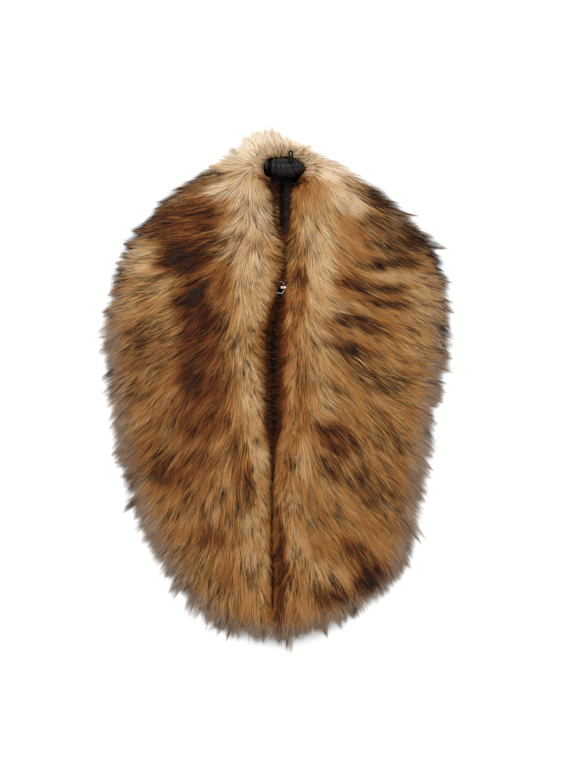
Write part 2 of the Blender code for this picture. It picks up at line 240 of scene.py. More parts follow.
# What differs between the halves: the way outward, the random seed, the tables, how dark the fur
# inside the lip turns (partly darker hair, partly painted shade of the channel), and how much more in
# the channel's middle, how brown it turns beside the lip, the y over which the outline's tips turn
# dark, and how far the short hair at the lip takes the coat's own tone.
HALVES = table(
    "name side seed rows flow dark dark_middle brown upper_from upper_to pale",
    ("left", -1, 11, LEFT, LEFT_FLOW, 0.50, 0.35, 0, 60, 130, 0.05),
    ("right", 1, 12, RIGHT, RIGHT_FLOW, 0.85, 0, 0.8, 0, 100, 0),
)

# Patches of the coat's colour, in mm: middle, half sizes, turn in degrees, tone and the share of
# locks with dark tips. Tone is 0 for cream, 0.35 tan, 0.5 golden, 0.7 red-brown and 1 for black.
BASE_TONE, BASE_DARK = 0.50, 0.16
PATCHES = table(
    "x y long wide turn tone dark",
    # nape and the pale bands beside the channel
    (-10, 285, 70, 30, 0, 0.02, 0.02),
    (-55, 245, 45, 30, 20, 0.16, 0.06),
    (-35, 200, 38, 60, 0, 0.19, 0.10),
    (-30, 125, 26, 50, 0, 0.23, 0.09),
    (-28, 85, 20, 25, 0, 0.28, 0.10),
    (-38, 35, 20, 35, 0, 0.36, 0.25),
    (-25, -15, 18, 40, 0, 0.30, 0.08),
    (-24, -85, 16, 45, 0, 0.33, 0.10),
    (-26, -205, 20, 70, 0, 0.39, 0.14),
    # left half
    (-108, 236, 40, 14, 20, 0.48, 0.60),
    (-112, 195, 52, 24, 8, 0.78, 0.50),
    (-165, 150, 24, 24, 20, 0.28, 0.15),
    (-112, 152, 34, 24, 10, 0.95, 0.50),
    (-150, 100, 40, 30, 25, 0.40, 0.40),
    (-92, 75, 28, 50, 0, 0.87, 0.40),
    (-98, 92, 28, 26, 0, 0.97, 0.45),
    (-90, 15, 32, 48, 0, 0.80, 0.35),
    (-70, 110, 12, 28, 0, 0.60, 0.15),
    (-160, 20, 36, 70, 0, 0.53, 0.40),
    (-95, -45, 40, 26, 0, 0.73, 0.30),
    (-150, -75, 34, 24, 30, 0.56, 0.35),
    (-115, -100, 42, 22, 20, 0.66, 0.40),
    (-42, -105, 14, 48, 12, 0.66, 0.50),
    (-100, -140, 40, 18, 20, 0.52, 0.25),
    (-85, -187, 26, 16, 10, 0.64, 0.40),
    (-110, -222, 40, 26, 30, 0.50, 0.35),
    (-60, -250, 26, 22, 10, 0.48, 0.35),
    # right half
    (55, 262, 60, 24, -12, 0.12, 0.04),
    (36, 238, 14, 16, 0, 0.48, 0.20),
    (86, 216, 30, 18, -15, 0.20, 0.10),
    (50, 185, 26, 34, 0, 0.26, 0.25),
    (54, 132, 20, 48, 0, 0.22, 0.08),
    (62, 92, 26, 18, -30, 0.24, 0.10),
    (20, 165, 12, 60, 0, 0.46, 0.20),
    (26, 105, 12, 50, 0, 0.56, 0.25),
    (46, 52, 20, 28, 0, 0.34, 0.15),
    (128, 222, 26, 16, -25, 0.50, 0.85),
    (135, 190, 38, 12, -4, 0.44, 0.60),
    (150, 166, 42, 11, 4, 0.48, 0.85),
    (160, 186, 30, 8, -20, 0.42, 0.80),
    (138, 144, 40, 7, 5, 0.52, 0.95),
    (150, 128, 44, 7, 0, 0.30, 0.15),
    (86, 118, 16, 7, 0, 0.72, 0.50),
    (128, 112, 40, 6, 0, 0.55, 0.90),
    (140, 94, 40, 7, -5, 0.54, 0.85),
    (180, 105, 22, 24, 0, 0.30, 0.20),
    (100, 72, 38, 10, -12, 0.60, 0.75),
    (176, 60, 26, 46, 0, 0.38, 0.30),
    (92, 34, 38, 16, -20, 0.56, 0.70),
    (60, 15, 20, 26, 0, 0.36, 0.12),
    (130, 5, 40, 22, -25, 0.48, 0.55),
    (58, -28, 22, 18, 0, 0.36, 0.12),
    (76, -68, 30, 18, -35, 0.66, 0.70),
    (78, -106, 30, 15, -35, 0.60, 0.75),
    (36, -95, 12, 30, 0, 0.34, 0.15),
    (135, -60, 44, 26, -35, 0.46, 0.45),
    (118, -125, 40, 20, -38, 0.50, 0.65),
    (18, -150, 14, 40, 0, 0.40, 0.15),
    (26, -195, 14, 24, 0, 0.32, 0.10),
    (62, -226, 24, 13, -10, 0.40, 0.12),
    (98, -205, 26, 14, -40, 0.72, 0.50),
    (112, -234, 24, 15, 40, 0.92, 0.80),
    (68, -258, 26, 12, 0, 0.66, 0.50),
    # along the part line
    (2, -225, 9, 75, 0, 0.84, 0.30),
    (8, 236, 20, 9, 0, 0.98, 0.90),
)


# ---------------------------------------------------------------- helpers

TINY = 1e-9  # keeps a division from failing
FINE_ROWS = 60  # to a row of the tables
MAP_CELL = 2.0
MAP_X, MAP_Y = 270.0, 360.0  # half the size of the maps of a half
MAP_MARGIN = 40  # cells beyond the sections in which a map goes on
MAP_IN, MAP_IN_STEPS = -20.0, 14  # far from which the maps are surveyed, and steps up to nought
MAP_OUT, MAP_OUT_STEPS = 1.35, 320  # share of the reach to which they are
HANG_FALL = 1.6  # to a mm that the pile hangs over the channel
UNDER_DEEP = 15.0  # of the undercoat under the pile's top
UNDER_INSET = 1.0  # from the lining that stands up
UNDER_PAST = 5.0  # past the hide's edge
UNDER_RIM = 2.2  # height


def smooth(rows, at):
    """The values between a table's rows, on curves through them; at holds row numbers."""
    points = np.array(rows, float)
    points = np.vstack([2 * points[0] - points[1], points, 2 * points[-1] - points[-2]])
    row = np.clip(at.astype(int), 0, len(rows) - 2)
    t = (at - row)[:, None]
    a, b, c, d = (points[row + k] for k in range(4))
    curve = 2 * b + (c - a) * t + (2 * a - 5 * b + 4 * c - d) * t**2
    return 0.5 * (curve + (3 * b - a - 3 * c + d) * t**3)


def fade(low, high, value):
    """0 below low, 1 above high and smooth between."""
    t = np.clip((value - low) / (high - low), 0.0, 1.0)
    return t * t * (3 - 2 * t)


def within(before, low, high, after, value):
    """1 between low and high, 0 before and after, and smooth between."""
    return fade(before, low, value) * (1 - fade(high, after, value))


def between(rows, at, column):
    """Values of a table's column at places along its first column."""
    return np.interp(at, [row[0] for row in rows], [getattr(row, column) for row in rows])


def run_along(line):
    """How far along a line its points are, and the points at some other places along it."""
    run = np.concatenate([[0], np.cumsum(np.linalg.norm(np.diff(line, axis=0), axis=1))])
    return run, lambda at: np.stack([np.interp(at, run, line[:, k]) for k in (0, 1)], 1)


def linear(red, green, blue):
    """A colour given in 0 to 255, as Blender's nodes take it."""
    parts = [c / 255 for c in (red, green, blue)]
    return [c / 12.92 if c <= 0.04045 else ((c + 0.055) / 1.055) ** 2.4 for c in parts]


def dome(far, lip, lip_high, ridge, high, reach, tip):
    """Height of a half's cross section: up from the lip, over the ridge and down to the tips."""
    turn = np.clip((far - lip) / (ridge - lip), 0.0, 1.0)
    inner = lip_high + (high - lip_high) * np.sqrt(1 - (1 - turn) ** 2)
    t = np.clip((far - ridge) / (reach - ridge), 0.0, 1.0)
    outer = tip + (high - tip) * (1 - t**CROWN_ROUND) ** CROWN_FALL
    return np.where(far < ridge, inner, outer)


def spread(values, known):
    """Carries a map's known values into the cells around them, ring by ring."""
    values = np.where(known[..., None], values, 0.0)
    for _ in range(MAP_MARGIN):
        around = np.zeros_like(values)
        count = np.zeros(known.shape)
        for shift in ((1, 0), (-1, 0), (0, 1), (0, -1)):
            around += np.roll(values * known[..., None], shift, (0, 1))
            count += np.roll(known, shift, (0, 1))
        new = ~known & (count > 0)
        values[new] = around[new] / count[new][:, None]
        known = known | new
    return values


class Side:
    """One half of the wrap: its sections, and maps that find the section over any point."""

    def __init__(self, traits):
        self.traits, self.name, self.side = traits, traits.name, traits.side
        self.last = len(PART_LINE) - 1
        self.rows = np.linspace(0, self.last, FINE_ROWS * self.last + 1)
        shift = np.array([self.side * GAP / 2, 0.0])
        self.base = smooth(PART_LINE, self.rows) + shift
        values = smooth(traits.rows, self.rows)
        span = values[:, :2] + shift - self.base
        self.reach = np.linalg.norm(span, axis=1)
        self.out = span / self.reach[:, None]
        self.neck, self.lip, self.ridge, self.high = values[:, 2:].T
        self.lip = np.maximum(self.lip, LEAST_OPEN)
        self.hide = self.reach - np.minimum(PILE_OVERHANG, self.reach / 2)
        self.foot = np.maximum(self.neck - STAND_RUN, LEAST_OPEN)
        self.map = self.survey()

    def survey(self):
        """Row and far over a grid of the surface."""
        far = np.linspace(MAP_IN, 1.0, MAP_IN_STEPS + 1)[:-1]
        reach = self.reach[:, None]
        outward = reach * np.linspace(0, MAP_OUT, MAP_OUT_STEPS)
        far = np.hstack([np.repeat(far[None], len(reach), 0), outward])
        spots = self.base[:, None] + self.out[:, None] * far[..., None]
        cells = np.round((spots + (MAP_X, MAP_Y)) / MAP_CELL).astype(int).reshape(-1, 2)
        shape = (int(2 * MAP_X / MAP_CELL) + 1, int(2 * MAP_Y / MAP_CELL) + 1)
        inside = ((cells >= 0) & (cells < shape)).all(1)
        flat = cells[inside, 0] * shape[1] + cells[inside, 1]
        row = np.repeat(self.rows[:, None], far.shape[1], 1).ravel()[inside]
        count = np.bincount(flat, minlength=shape[0] * shape[1])
        found = []
        for value in (row, far.ravel()[inside]):
            total = np.bincount(flat, value, minlength=shape[0] * shape[1])
            found.append((total / np.maximum(count, 1)).reshape(shape))
        self.crossed = count.reshape(shape) > 0
        return spread(np.stack(found, -1), self.crossed)

    def find(self, xy):
        """Row and far of points."""
        spot = (xy + (MAP_X, MAP_Y)) / MAP_CELL
        low = np.floor(spot).astype(int)
        share = spot - low
        size = np.array(self.map.shape[:2])
        total = np.zeros((len(xy), 2))
        for dx in (0, 1):
            for dy in (0, 1):
                cell = np.clip(low + (dx, dy), 0, size - 1)
                near = np.abs(1 - dx - share[:, 0]) * np.abs(1 - dy - share[:, 1])
                total += self.map[cell[:, 0], cell[:, 1]] * near[:, None]
        return total[:, 0], total[:, 1]

    def at(self, row, *names):
        """Sizes of the sections at some rows."""
        found = [np.interp(row, self.rows, getattr(self, name)) for name in names]
        return found if len(found) > 1 else found[0]

    def line(self, row):
        """Points of the part line at some rows, and the ways outward there."""
        return [np.stack([np.interp(row, self.rows, of[:, k]) for k in (0, 1)], 1)
                for of in (self.base, self.out)]

    def over(self, row):
        """How far the hair hangs over the channel at some rows."""
        return between(OVER, np.interp(row, self.rows, self.base[:, 1]), self.name)

    def pile(self, row, far):
        """Height of the pile's top."""
        lip, ridge, high, reach = self.at(row, "lip", "ridge", "high", "reach")
        top = dome(far, lip, LIP_HIGH, ridge, high, reach, TIP_THICK)
        return top - HANG_FALL * np.maximum(lip - far, 0.0)

    def under(self, row, far):
        """Height of the undercoat, in which the hair is rooted."""
        neck, ridge, high, hide = self.at(row, "neck", "ridge", "high", "hide")
        start = neck + STAND_WIDE + UNDER_INSET
        ridge = np.minimum(np.maximum(ridge, start + 4), hide + 2)
        return dome(far, start, STAND_HIGH, ridge, high - UNDER_DEEP, hide + UNDER_PAST, UNDER_RIM)

    def angle(self, row, far):
        """Degrees below straight outward at which the hair points."""
        flow = self.traits.flow
        lip, ridge, near, edge = (between(flow, row, at) for at in ("lip", "ridge", "near", "edge"))
        at_lip, at_ridge, at_edge = self.at(row, "lip", "ridge", "reach")
        angle = lip + (ridge - lip) * np.clip((far - at_lip) / (at_ridge - at_lip), 0, 1)
        past = np.clip((far - at_ridge) / NEAR, 0, 1)
        angle = np.where(far > at_ridge, ridge + (near - ridge) * past, angle)
        outer = np.clip((far - at_ridge - NEAR) / np.maximum(at_edge - at_ridge - NEAR, 10), 0, 1)
        return angle + (edge - near) * outer

    def trace(self, xy, length, turn, points):
        """Paths of hairs over the surface, from their roots, each step the way the hair lies."""
        path = [xy]
        for _ in range(points - 1):
            row, far = self.find(path[-1])
            angle = np.radians(self.angle(row, far) + turn)
            step = np.stack([self.side * np.cos(angle), -np.sin(angle)], 1)
            path.append(path[-1] + step * (length / (points - 1))[:, None])
        return np.stack(path, 1)


# ---------------------------------------------------------------- materials

# Colours of single hairs, by kind and tone: roots, body and tips.
PLAIN = table(
    "tone root body tip",
    (0.00, (204, 174, 134), (240, 222, 192), (246, 234, 214)),
    (0.20, (162, 118, 70), (210, 172, 124), (218, 184, 138)),
    (0.40, (138, 86, 40), (186, 135, 75), (195, 146, 88)),
    (0.55, (116, 62, 25), (169, 107, 48), (172, 113, 56)),
    (0.75, (86, 40, 16), (137, 66, 24), (128, 63, 26)),
    (1.00, (17, 9, 7), (28, 14, 10), (21, 11, 9)),
)
DARK_TIPPED = table(
    "tone root body tip",
    (0.00, (176, 138, 92), (196, 158, 110), (128, 92, 60)),
    (0.20, (160, 116, 68), (180, 134, 84), (96, 62, 38)),
    (0.40, (136, 86, 44), (156, 104, 54), (38, 22, 15)),
    (0.55, (116, 64, 28), (132, 76, 34), (27, 15, 11)),
    (0.75, (86, 40, 16), (84, 38, 17), (26, 13, 10)),
    (1.00, (28, 15, 11), (30, 15, 12), (18, 10, 9)),
)
ASH = table(
    "tone root body tip",
    (0.00, (170, 138, 96), (200, 176, 144), (206, 190, 170)),
    (0.20, (156, 118, 74), (186, 156, 118), (188, 170, 150)),
    (0.40, (132, 90, 52), (166, 128, 90), (166, 148, 130)),
    (0.55, (112, 70, 36), (146, 106, 70), (144, 126, 110)),
    (0.75, (84, 46, 24), (112, 76, 50), (100, 84, 74)),
    (1.00, (32, 20, 16), (46, 32, 26), (40, 32, 28)),
)
KINDS = (PLAIN, DARK_TIPPED, ASH)
KIND_MARGIN = 0.02  # of a kind's share of the map, kept free at its sides
ROOT_TO_BODY = (0.10, 0.50)  # shares of a hair's length between which the colours change
BODY_TO_TIP = (0.46, 0.78)


def map_across(kind, tone):
    """Place of a kind and tone across the hair's colour map, from 0 to 1."""
    inside = KIND_MARGIN + (1 - 2 * KIND_MARGIN) * np.clip(tone, 0, 1)
    return (kind + inside) / len(KINDS)


class Finish:
    """A material in the making, with its shader."""

    def __init__(self, name, values):
        self.made = bpy.data.materials.new(name)
        self.made.use_nodes = True
        self.tree = self.made.node_tree
        self.shader = self.tree.nodes["Principled BSDF"]
        self.set(self.shader, values)

    def set(self, node, values):
        for socket, value in values.items():
            node.inputs[socket].default_value = value

    def link(self, node, sources):
        for socket, source in sources.items():
            self.tree.links.new(source, node.inputs[socket])

    def add(self, kind, values, sources):
        """A node with its values and what is linked into it."""
        node = self.tree.nodes.new("ShaderNode" + kind)
        self.set(node, values)
        self.link(node, sources)
        return node

    def place(self):
        """Places on the object itself, for textures."""
        return self.add("TexCoord", {}, {}).outputs["Object"]

    def cloudy(self, place, scale, detail, dark, pale):
        """A colour that wanders between two."""
        cloud = self.add("TexNoise", {"Scale": scale, "Detail": detail}, {"Vector": place})
        ramp = self.add("ValToRGB", {}, {"Fac": cloud.outputs["Fac"]})
        for element, colour in zip(ramp.color_ramp.elements, (dark, pale)):
            element.color = (*colour, 1)
        return ramp.outputs["Color"]


def tone_ramp(finish, part, across):
    """A colour by kind and tone for the roots, bodies or tips."""
    ramp = finish.add("ValToRGB", {}, {"Fac": across})
    stops = []
    for number, kind in enumerate(KINDS):
        for shade in kind:
            stops.append((map_across(number, shade.tone), linear(*getattr(shade, part))))
    elements = ramp.color_ramp.elements
    while len(elements) < len(stops):
        elements.new(0.5)
    for element, (place, colour) in zip(elements, stops):
        element.position = place
        element.color = (*colour, 1.0)
    return ramp.outputs["Color"]


def blend_along(finish, along, reach, first, second):
    """One colour before a reach along a hair and another past it."""
    step = finish.add("MapRange", {"From Min": reach[0], "From Max": reach[1]}, {"Value": along})
    step.interpolation_type = "SMOOTHSTEP"
    mix = finish.add("Mix", {}, {})
    mix.data_type = "RGBA"
    finish.link(mix, {"Factor": step.outputs["Result"], "A": first, "B": second})
    return mix.outputs["Result"]


def hair_material():
    """Hair coloured by its kind and tone across the map, and by the way along it up the map."""
    finish = Finish("fur_hair", {"Roughness": 0.60, "Specular IOR Level": 0.12})
    uv = finish.add("UVMap", {}, {})
    uv.uv_map = "OFBake"
    split = finish.add("SeparateXYZ", {}, {"Vector": uv.outputs["UV"]})
    across, along = split.outputs["X"], split.outputs["Y"]
    root, body, tip = (tone_ramp(finish, part, across) for part in ("root", "body", "tip"))
    lower = blend_along(finish, along, ROOT_TO_BODY, root, body)
    colour = blend_along(finish, along, BODY_TO_TIP, lower, tip)
    finish.link(finish.shader, {"Base Color": colour})
    return finish.made


def satin_material(name, gloss, roughness):
    """Black satin with a fine twill and a soft gloss."""
    finish = Finish(name, {"Roughness": roughness, "Specular IOR Level": gloss})
    place = finish.place()
    twill = finish.add("TexWave", {"Scale": 520.0, "Distortion": 0.6}, {"Vector": place})
    twill.wave_type = "BANDS"
    twill.bands_direction = "DIAGONAL"
    bump = finish.add("Bump", {"Strength": 0.25, "Distance": 0.0001}, {"Height": twill.outputs["Fac"]})
    colour = finish.cloudy(place, 90.0, 3.0, linear(4, 4, 5), linear(13, 13, 15))
    finish.link(finish.shader, {"Base Color": colour, "Normal": bump.outputs["Normal"]})
    return finish.made


def thread_material():
    """Matt black sewing thread."""
    finish = Finish("black_thread", {"Roughness": 0.8})
    colour = finish.cloudy(finish.place(), 2500.0, 2.0, linear(10, 9, 9), linear(34, 32, 31))
    finish.link(finish.shader, {"Base Color": colour})
    return finish.made


def metal_material():
    """Bright nickel wire, a little worn."""
    finish = Finish("nickel_wire", {"Metallic": 1.0, "Roughness": 0.28})
    colour = finish.cloudy(finish.place(), 900.0, 2.0, (0.78, 0.78, 0.80), (0.96, 0.96, 0.97))
    finish.link(finish.shader, {"Base Color": colour})
    return finish.made


def floor_material():
    return Finish("pale_floor", {"Base Color": (0.9, 0.9, 0.9, 1), "Roughness": 0.9}).made


# ---------------------------------------------------------------- meshes


def show(name, data):
    """An object in the scene."""
    shown = bpy.data.objects.new(name, data)
    bpy.context.scene.collection.objects.link(shown)
    return shown


def link(name, data, finish):
    """A piece of the wrap, with its finish."""
    data.materials.append(finish)
    piece = show(name, data)
    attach(piece, "root")
    return piece


def mesh_from(name, verts, corners, sizes):
    """A mesh from arrays: points in mm, and the corners and corner counts of its faces."""
    data = bpy.data.meshes.new(name)
    data.vertices.add(len(verts))
    data.vertices.foreach_set("co", (np.asarray(verts, float) * MM).astype(np.float32).ravel())
    data.loops.add(len(corners))
    data.loops.foreach_set("vertex_index", np.asarray(corners, np.int32))
    data.polygons.add(len(sizes))
    starts = np.concatenate([[0], np.cumsum(sizes)[:-1]]).astype(np.int32)
    data.polygons.foreach_set("loop_start", starts)
    data.update(calc_edges=True)
    data.validate()
    data.shade_smooth()
    return data


def grid_corners(count, size, closed):
    """Corners of the faces between rings of points, each ring an open or closed line."""
    here = np.arange(size if closed else size - 1)
    after = (here + 1) % size
    rows = np.arange(count - 1)[:, None] * size
    faces = np.stack([rows + here, rows + after, rows + size + after, rows + size + here], -1)
    return faces.reshape(-1, 4)


def grid_mesh(name, rings, closed=False):
    """A skin through rings of points in mm."""
    rings = np.asarray(rings, float)
    faces = grid_corners(*rings.shape[:2], closed)
    return mesh_from(name, rings.reshape(-1, 3), faces.ravel(), np.full(len(faces), 4))


def joined(name, parts):
    """One mesh from several parts, each its points, corners, corner counts and maybe a map."""
    firsts = np.cumsum([0] + [len(part[0]) for part in parts[:-1]])
    corners = np.concatenate([part[1] + first for part, first in zip(parts, firsts)])
    verts, sizes = (np.concatenate([part[k] for part in parts]) for k in (0, 2))
    return mesh_from(name, verts, corners, sizes)


def add_map(data, uv):
    """Gives a mesh the hair's colour map."""
    data.uv_layers.new(name="OFBake").data.foreach_set("uv", uv.astype(np.float32).ravel())


RIBBON_HALF = 0.004  # half of a hair's width on the colour map
TAPER = (0.55, 1.5)  # share of its width that a hair loses before its last point, and how late


def ribbons(paths, wide, roll, across):
    """Hairs as flat ribbons that taper to a point. paths is (hairs, points, 3) in mm."""
    count, points = paths.shape[:2]
    along = np.gradient(paths, axis=1)
    along /= np.linalg.norm(along, axis=2, keepdims=True) + TINY
    side = np.cross(along, np.array([0.0, 0.0, 1.0]))
    side += 1e-4  # so that an upright hair has a side as well
    side /= np.linalg.norm(side, axis=2, keepdims=True)
    lift = np.cross(side, along)
    width = side * np.cos(roll)[:, None, None] + lift * np.sin(roll)[:, None, None]
    taper = 1.0 - TAPER[0] * np.linspace(0.0, 1.0, points)[:-1] ** TAPER[1]
    half = width[:, :-1] * (wide[:, None] * taper / 2)[..., None]
    left, right = paths[:, :-1] - half, paths[:, :-1] + half
    pairs = np.stack([left, right], 2).reshape(count, -1, 3)
    verts = np.concatenate([pairs, paths[:, -1:]], 1)
    each = 2 * points - 1
    corners, ways, sides = [], [], []
    for k in range(points - 2):
        corners += [2 * k, 2 * k + 1, 2 * k + 3, 2 * k + 2]
        ways += [k, k, k + 1, k + 1]
        sides += [-1, 1, 1, -1]
    corners += [each - 3, each - 2, each - 1]
    ways += [points - 2, points - 2, points - 1]
    sides += [-1, 1, 0]
    sizes = [4] * (points - 2) + [3]
    every = (np.arange(count)[:, None] * each + np.array(corners)).ravel()
    uv = np.empty((count, len(corners), 2), np.float32)
    uv[..., 0] = across[:, None] + RIBBON_HALF * np.array(sides)
    uv[..., 1] = np.array(ways) / (points - 1)
    return verts.reshape(-1, 3), every, np.tile(sizes, count), uv.reshape(-1, 2)


def hair_piece(name, parts, finish):
    """One piece from several sets of ribbons."""
    data = joined(name, parts)
    add_map(data, np.concatenate([part[3] for part in parts]))
    return link(name, data, finish)


# ---------------------------------------------------------------- hair

HAIRS = 100_000  # in each half
LOCK_PITCH = 11.0  # between locks of hair
EDGE_PITCH = 16.0  # between the long locks at the outline
WISP_PITCH = 3.6  # between the wisps in a lock
SPIKE_PITCH = 9.0  # between the points of hair at the outline
NAPE_ROWS = (2.5, 5.0)  # over which the nape's coat turns into the body's
NAPE_DENSE = (2.5, 4.5)  # rows over which the nape's denser hair ends
BODY_DENSE = 0.4  # share of the nape's roots that the body has
PAST_HIDE = 3.0  # how far past the hide's edge hair is rooted

# How a hair's length and way differ.
INNER_FROM, INNER_TO = -6.0, 10.0  # past the ridge, over which hair grows longer
INNER_SHORTER = 0.42  # share by which hair inside the ridge is shorter
LENGTHS = (0.72, 1.05)  # shares of its coat's length
HAIR_TURN = 3.0  # degrees
SWAY = table("degrees x y", (6, 31, 47), (5, -53, 19))  # x and y to a radian of the coat's waves

# Where a hair ends.
ROUGH_POINTS = 6  # of the first path, on which a hair's end is found
LEAST_SHARE = 0.12  # of its length that a hair keeps
TAIL_END = 309.0  # distance below the middle at which the tails' pile ends
NAPE_PAST = 0.35  # share of its way past the outline that a coat has at the nape
NAPE_STEP = 4.0  # by which the nape's hair is longer in its tuft, and shorter right of it
NAPE_SHORT = (-3, 6, 60, 90)  # x between which it is shorter, with the ends of the change
NAPE_TUFT = (-46, -36, -3, 6)
LONG_WISPS = (0.78, 0.95)  # chances over which a wisp of the nape becomes a long one
LONG_WISP = 6.0
LONG_SPIKES = (0.80, 0.95)  # chances over which a spike of the body becomes a long one
LONG_SPIKE = 0.35  # in shares of the coat's spikes
SPIKE_FLANK = (0.6, 0.4)  # how soon a spike falls off from its middle, and how far

# How the hairs of a wisp, lock or spike draw together, and how they lie.
LOCK_PULL, WISP_PULL = 0.5, 0.7
SPIKE_PULL, SPIKE_MORE, EDGE_WISP_PULL = 0.2, 0.7, 0.4
NAPE_SPIKE_PULL, NAPE_WISP_PULL = 0.45, 0.5
FULL_CLUMP = 0.4  # of a coat whose spikes draw together fully
PULL_LATE, RISE_LATE = 1.4, 0.75  # how late along a hair it is drawn over, and rises
LOCK_SAG = 1.5  # of the sides of a lock under its middle
HAIR_CLEAR = 0.4  # over the undercoat
FLOOR_CLEAR = 0.6  # over the surface, past the undercoat

# Tone of the fur at the channel's edges, which darken towards the lip: partly darker brown hair,
# partly painted shade of the channel.
CHANNEL_TONE_AND_SHADE = table(
    "y tone",
    (-280, 0.86),
    (-90, 0.90),
    (-40, 0.97),
    (100, 0.97),
    (116, 0.90),
    (150, 0.86),
    (176, 0.90),
    (190, 0.97),
    (243, 1.00),
    (250, 0.14),
)
CHANNEL_MIDDLE = (-95, -55, 96, 112)  # y of its widest, darkest part, where the painted shade and darker hair reach farthest, with the ends of the change
LIP_TONE = 0.58  # of the brown hair beside the channel
LIP_BROWN = (0.0, 8.0)  # from the lip, over which it ends
LIP_ROWS = (3.5, 5.0)  # over which it begins
INWARD_LESS = 0.05  # by which the coat is paler there than the short hair
INWARD_FROM, INWARD_TO, INWARD_MORE = -2.0, 3.0, 10.0  # from the lip, over which the darkening (partly painted shade) ends, and more in the middle
INWARD_ROWS = (3.5, 4.5)  # over which the fur inside the lip turns dark, partly with painted shade of the channel
RAGGED, RAGGED_MEAN = 7.0, 0.3  # by which wisps over its middle differ, and their mean
RIM = (-36, -8)  # from the outline, over which the coat turns ash-coloured
RIM_ASH, RIM_ASH_LESS = 0.85, 0.45  # share of ash hair, and how much less where tips are dark
RIM_DARK_LESS = 0.75  # share of its dark tips that the rest of the rim loses
DARK_LOCK, DARK_IN_LOCK, DARK_WISP = 0.14, 0.8, 0.85  # of the share of dark tips
TIPS_TONE = (0.15, 0.40)  # over which a coat's own dark tips begin
TONE_NOISE = 0.04
WIDTHS = (0.7, 1.2)  # shares of its coat's width
HAIR_ROLL = 0.6  # radians

PLAIN_HAIR, DARK_TIPPED_HAIR, ASH_HAIR = range(3)  # places in KINDS


Tuft = namedtuple("Tuft", "spot length turn tone lift spike chance")  # of each hair


class Tufts:
    """Points a pitch apart, unevenly, over the surface, each with traits of its own.

    What is given is how far the traits differ to either side.
    """

    def __init__(self, pitch, noise, length=0.0, turn=0.0, tone=0.0, lift=0.0):
        self.pitch = pitch
        self.shape = (int(2 * MAP_X / pitch) + 2, int(2 * MAP_Y / pitch) + 2)
        self.shift = noise.uniform(0.05, 0.95, self.shape + (2,))
        spans = [(1 - length, 1 + length)] + [(-most, most) for most in (turn, tone, lift)]
        count = self.shape[0] * self.shape[1]
        self.traits = [noise.uniform(low, high, count) for low, high in spans + [(0, 1), (0, 1)]]

    def nearest(self, xy):
        """Place and traits of the tuft that is nearest to each point."""
        home = np.floor((xy + (MAP_X, MAP_Y)) / self.pitch).astype(int)
        best = np.full(len(xy), np.inf)
        number = np.zeros(len(xy), int)
        place = np.zeros_like(xy)
        for dx in (-1, 0, 1):
            for dy in (-1, 0, 1):
                cell = np.clip(home + (dx, dy), 0, np.array(self.shape) - 1)
                spot = (cell + self.shift[cell[:, 0], cell[:, 1]]) * self.pitch - (MAP_X, MAP_Y)
                away = ((spot - xy) ** 2).sum(1)
                closer = away < best
                best = np.where(closer, away, best)
                number = np.where(closer, cell[:, 0] * self.shape[1] + cell[:, 1], number)
                place = np.where(closer[:, None], spot, place)
        return Tuft(place, *(trait[number] for trait in self.traits))


def coat_tone(xy):
    """Tone of the coat and share of dark-tipped locks at points."""
    tone = np.full(len(xy), BASE_TONE)
    dark = np.full(len(xy), BASE_DARK)
    for patch in PATCHES:
        turn = math.radians(patch.turn)
        x, y = xy[:, 0] - patch.x, xy[:, 1] - patch.y
        u = (x * math.cos(turn) + y * math.sin(turn)) / patch.long
        v = (y * math.cos(turn) - x * math.sin(turn)) / patch.wide
        weight = 1 - fade(0.55, 1.35, np.hypot(u, v))
        tone += (patch.tone - tone) * weight
        dark += (patch.dark - dark) * weight
    return tone, dark


def scatter(half, coat, count, noise):
    """Roots of hairs, evenly over the undercoat and closer together at the nape."""
    kept = []
    total = 0
    while total < count:
        xy = noise.uniform((-MAP_X, -MAP_Y), (MAP_X, MAP_Y), (400_000, 2))
        row, far = half.find(xy)
        neck, hide = half.at(row, "neck", "hide")
        nape = 1 - fade(*NAPE_DENSE, row)
        good = (far > neck + STAND_WIDE) & (far < hide + PAST_HIDE) & (far > hide - coat.start)
        cell = np.round((xy + (MAP_X, MAP_Y)) / MAP_CELL).astype(int)
        good &= half.crossed[cell[:, 0], cell[:, 1]]
        good &= noise.random(len(xy)) < BODY_DENSE + (1 - BODY_DENSE) * nape
        kept.append(xy[good])
        total += good.sum()
    return np.concatenate(kept)[:count]


def pick_roots(half, coat, count, wisps, noise):
    """A coat's roots: all over, or only in the few wisps that have it."""
    root = scatter(half, coat, count, noise)
    if coat.few < 1:
        root = root[noise.choice(np.flatnonzero(wisps.nearest(root).chance < coat.few), count)]
    return root


def first_crossing(past):
    """Share of each path at which a measure along it first passes nought, or 1."""
    steps = past.shape[1] - 1
    share = np.ones(len(past))
    for step in range(steps, 0, -1):
        before, here = past[:, step - 1], past[:, step]
        part = np.clip(-before / np.maximum(here - before, 1e-6), 0, 1)
        share = np.where(here > 0, (step - 1 + part) / steps, share)
    return share


def spots_along(path, share):
    """The points at a share of each path."""
    steps = path.shape[1] - 1
    place = steps * share
    step = np.minimum(place.astype(int), steps - 1)
    every = np.arange(len(path))
    return path[every, step] + (path[every, step + 1] - path[every, step]) * (place - step)[:, None]


def nape_drop(coat, x, spike, wisp, noise):
    """How far inside the outline hair ends at the nape, which has a tuft left of its middle."""
    drop = coat.spike * (0.35 * wisp.spike + 0.45 * spike.spike)
    drop += noise.exponential(1.5, len(x)) - LONG_WISP * fade(*LONG_WISPS, wisp.chance)
    return drop + NAPE_STEP * (2 * within(*NAPE_SHORT, x) - 1 - within(*NAPE_TUFT, x))


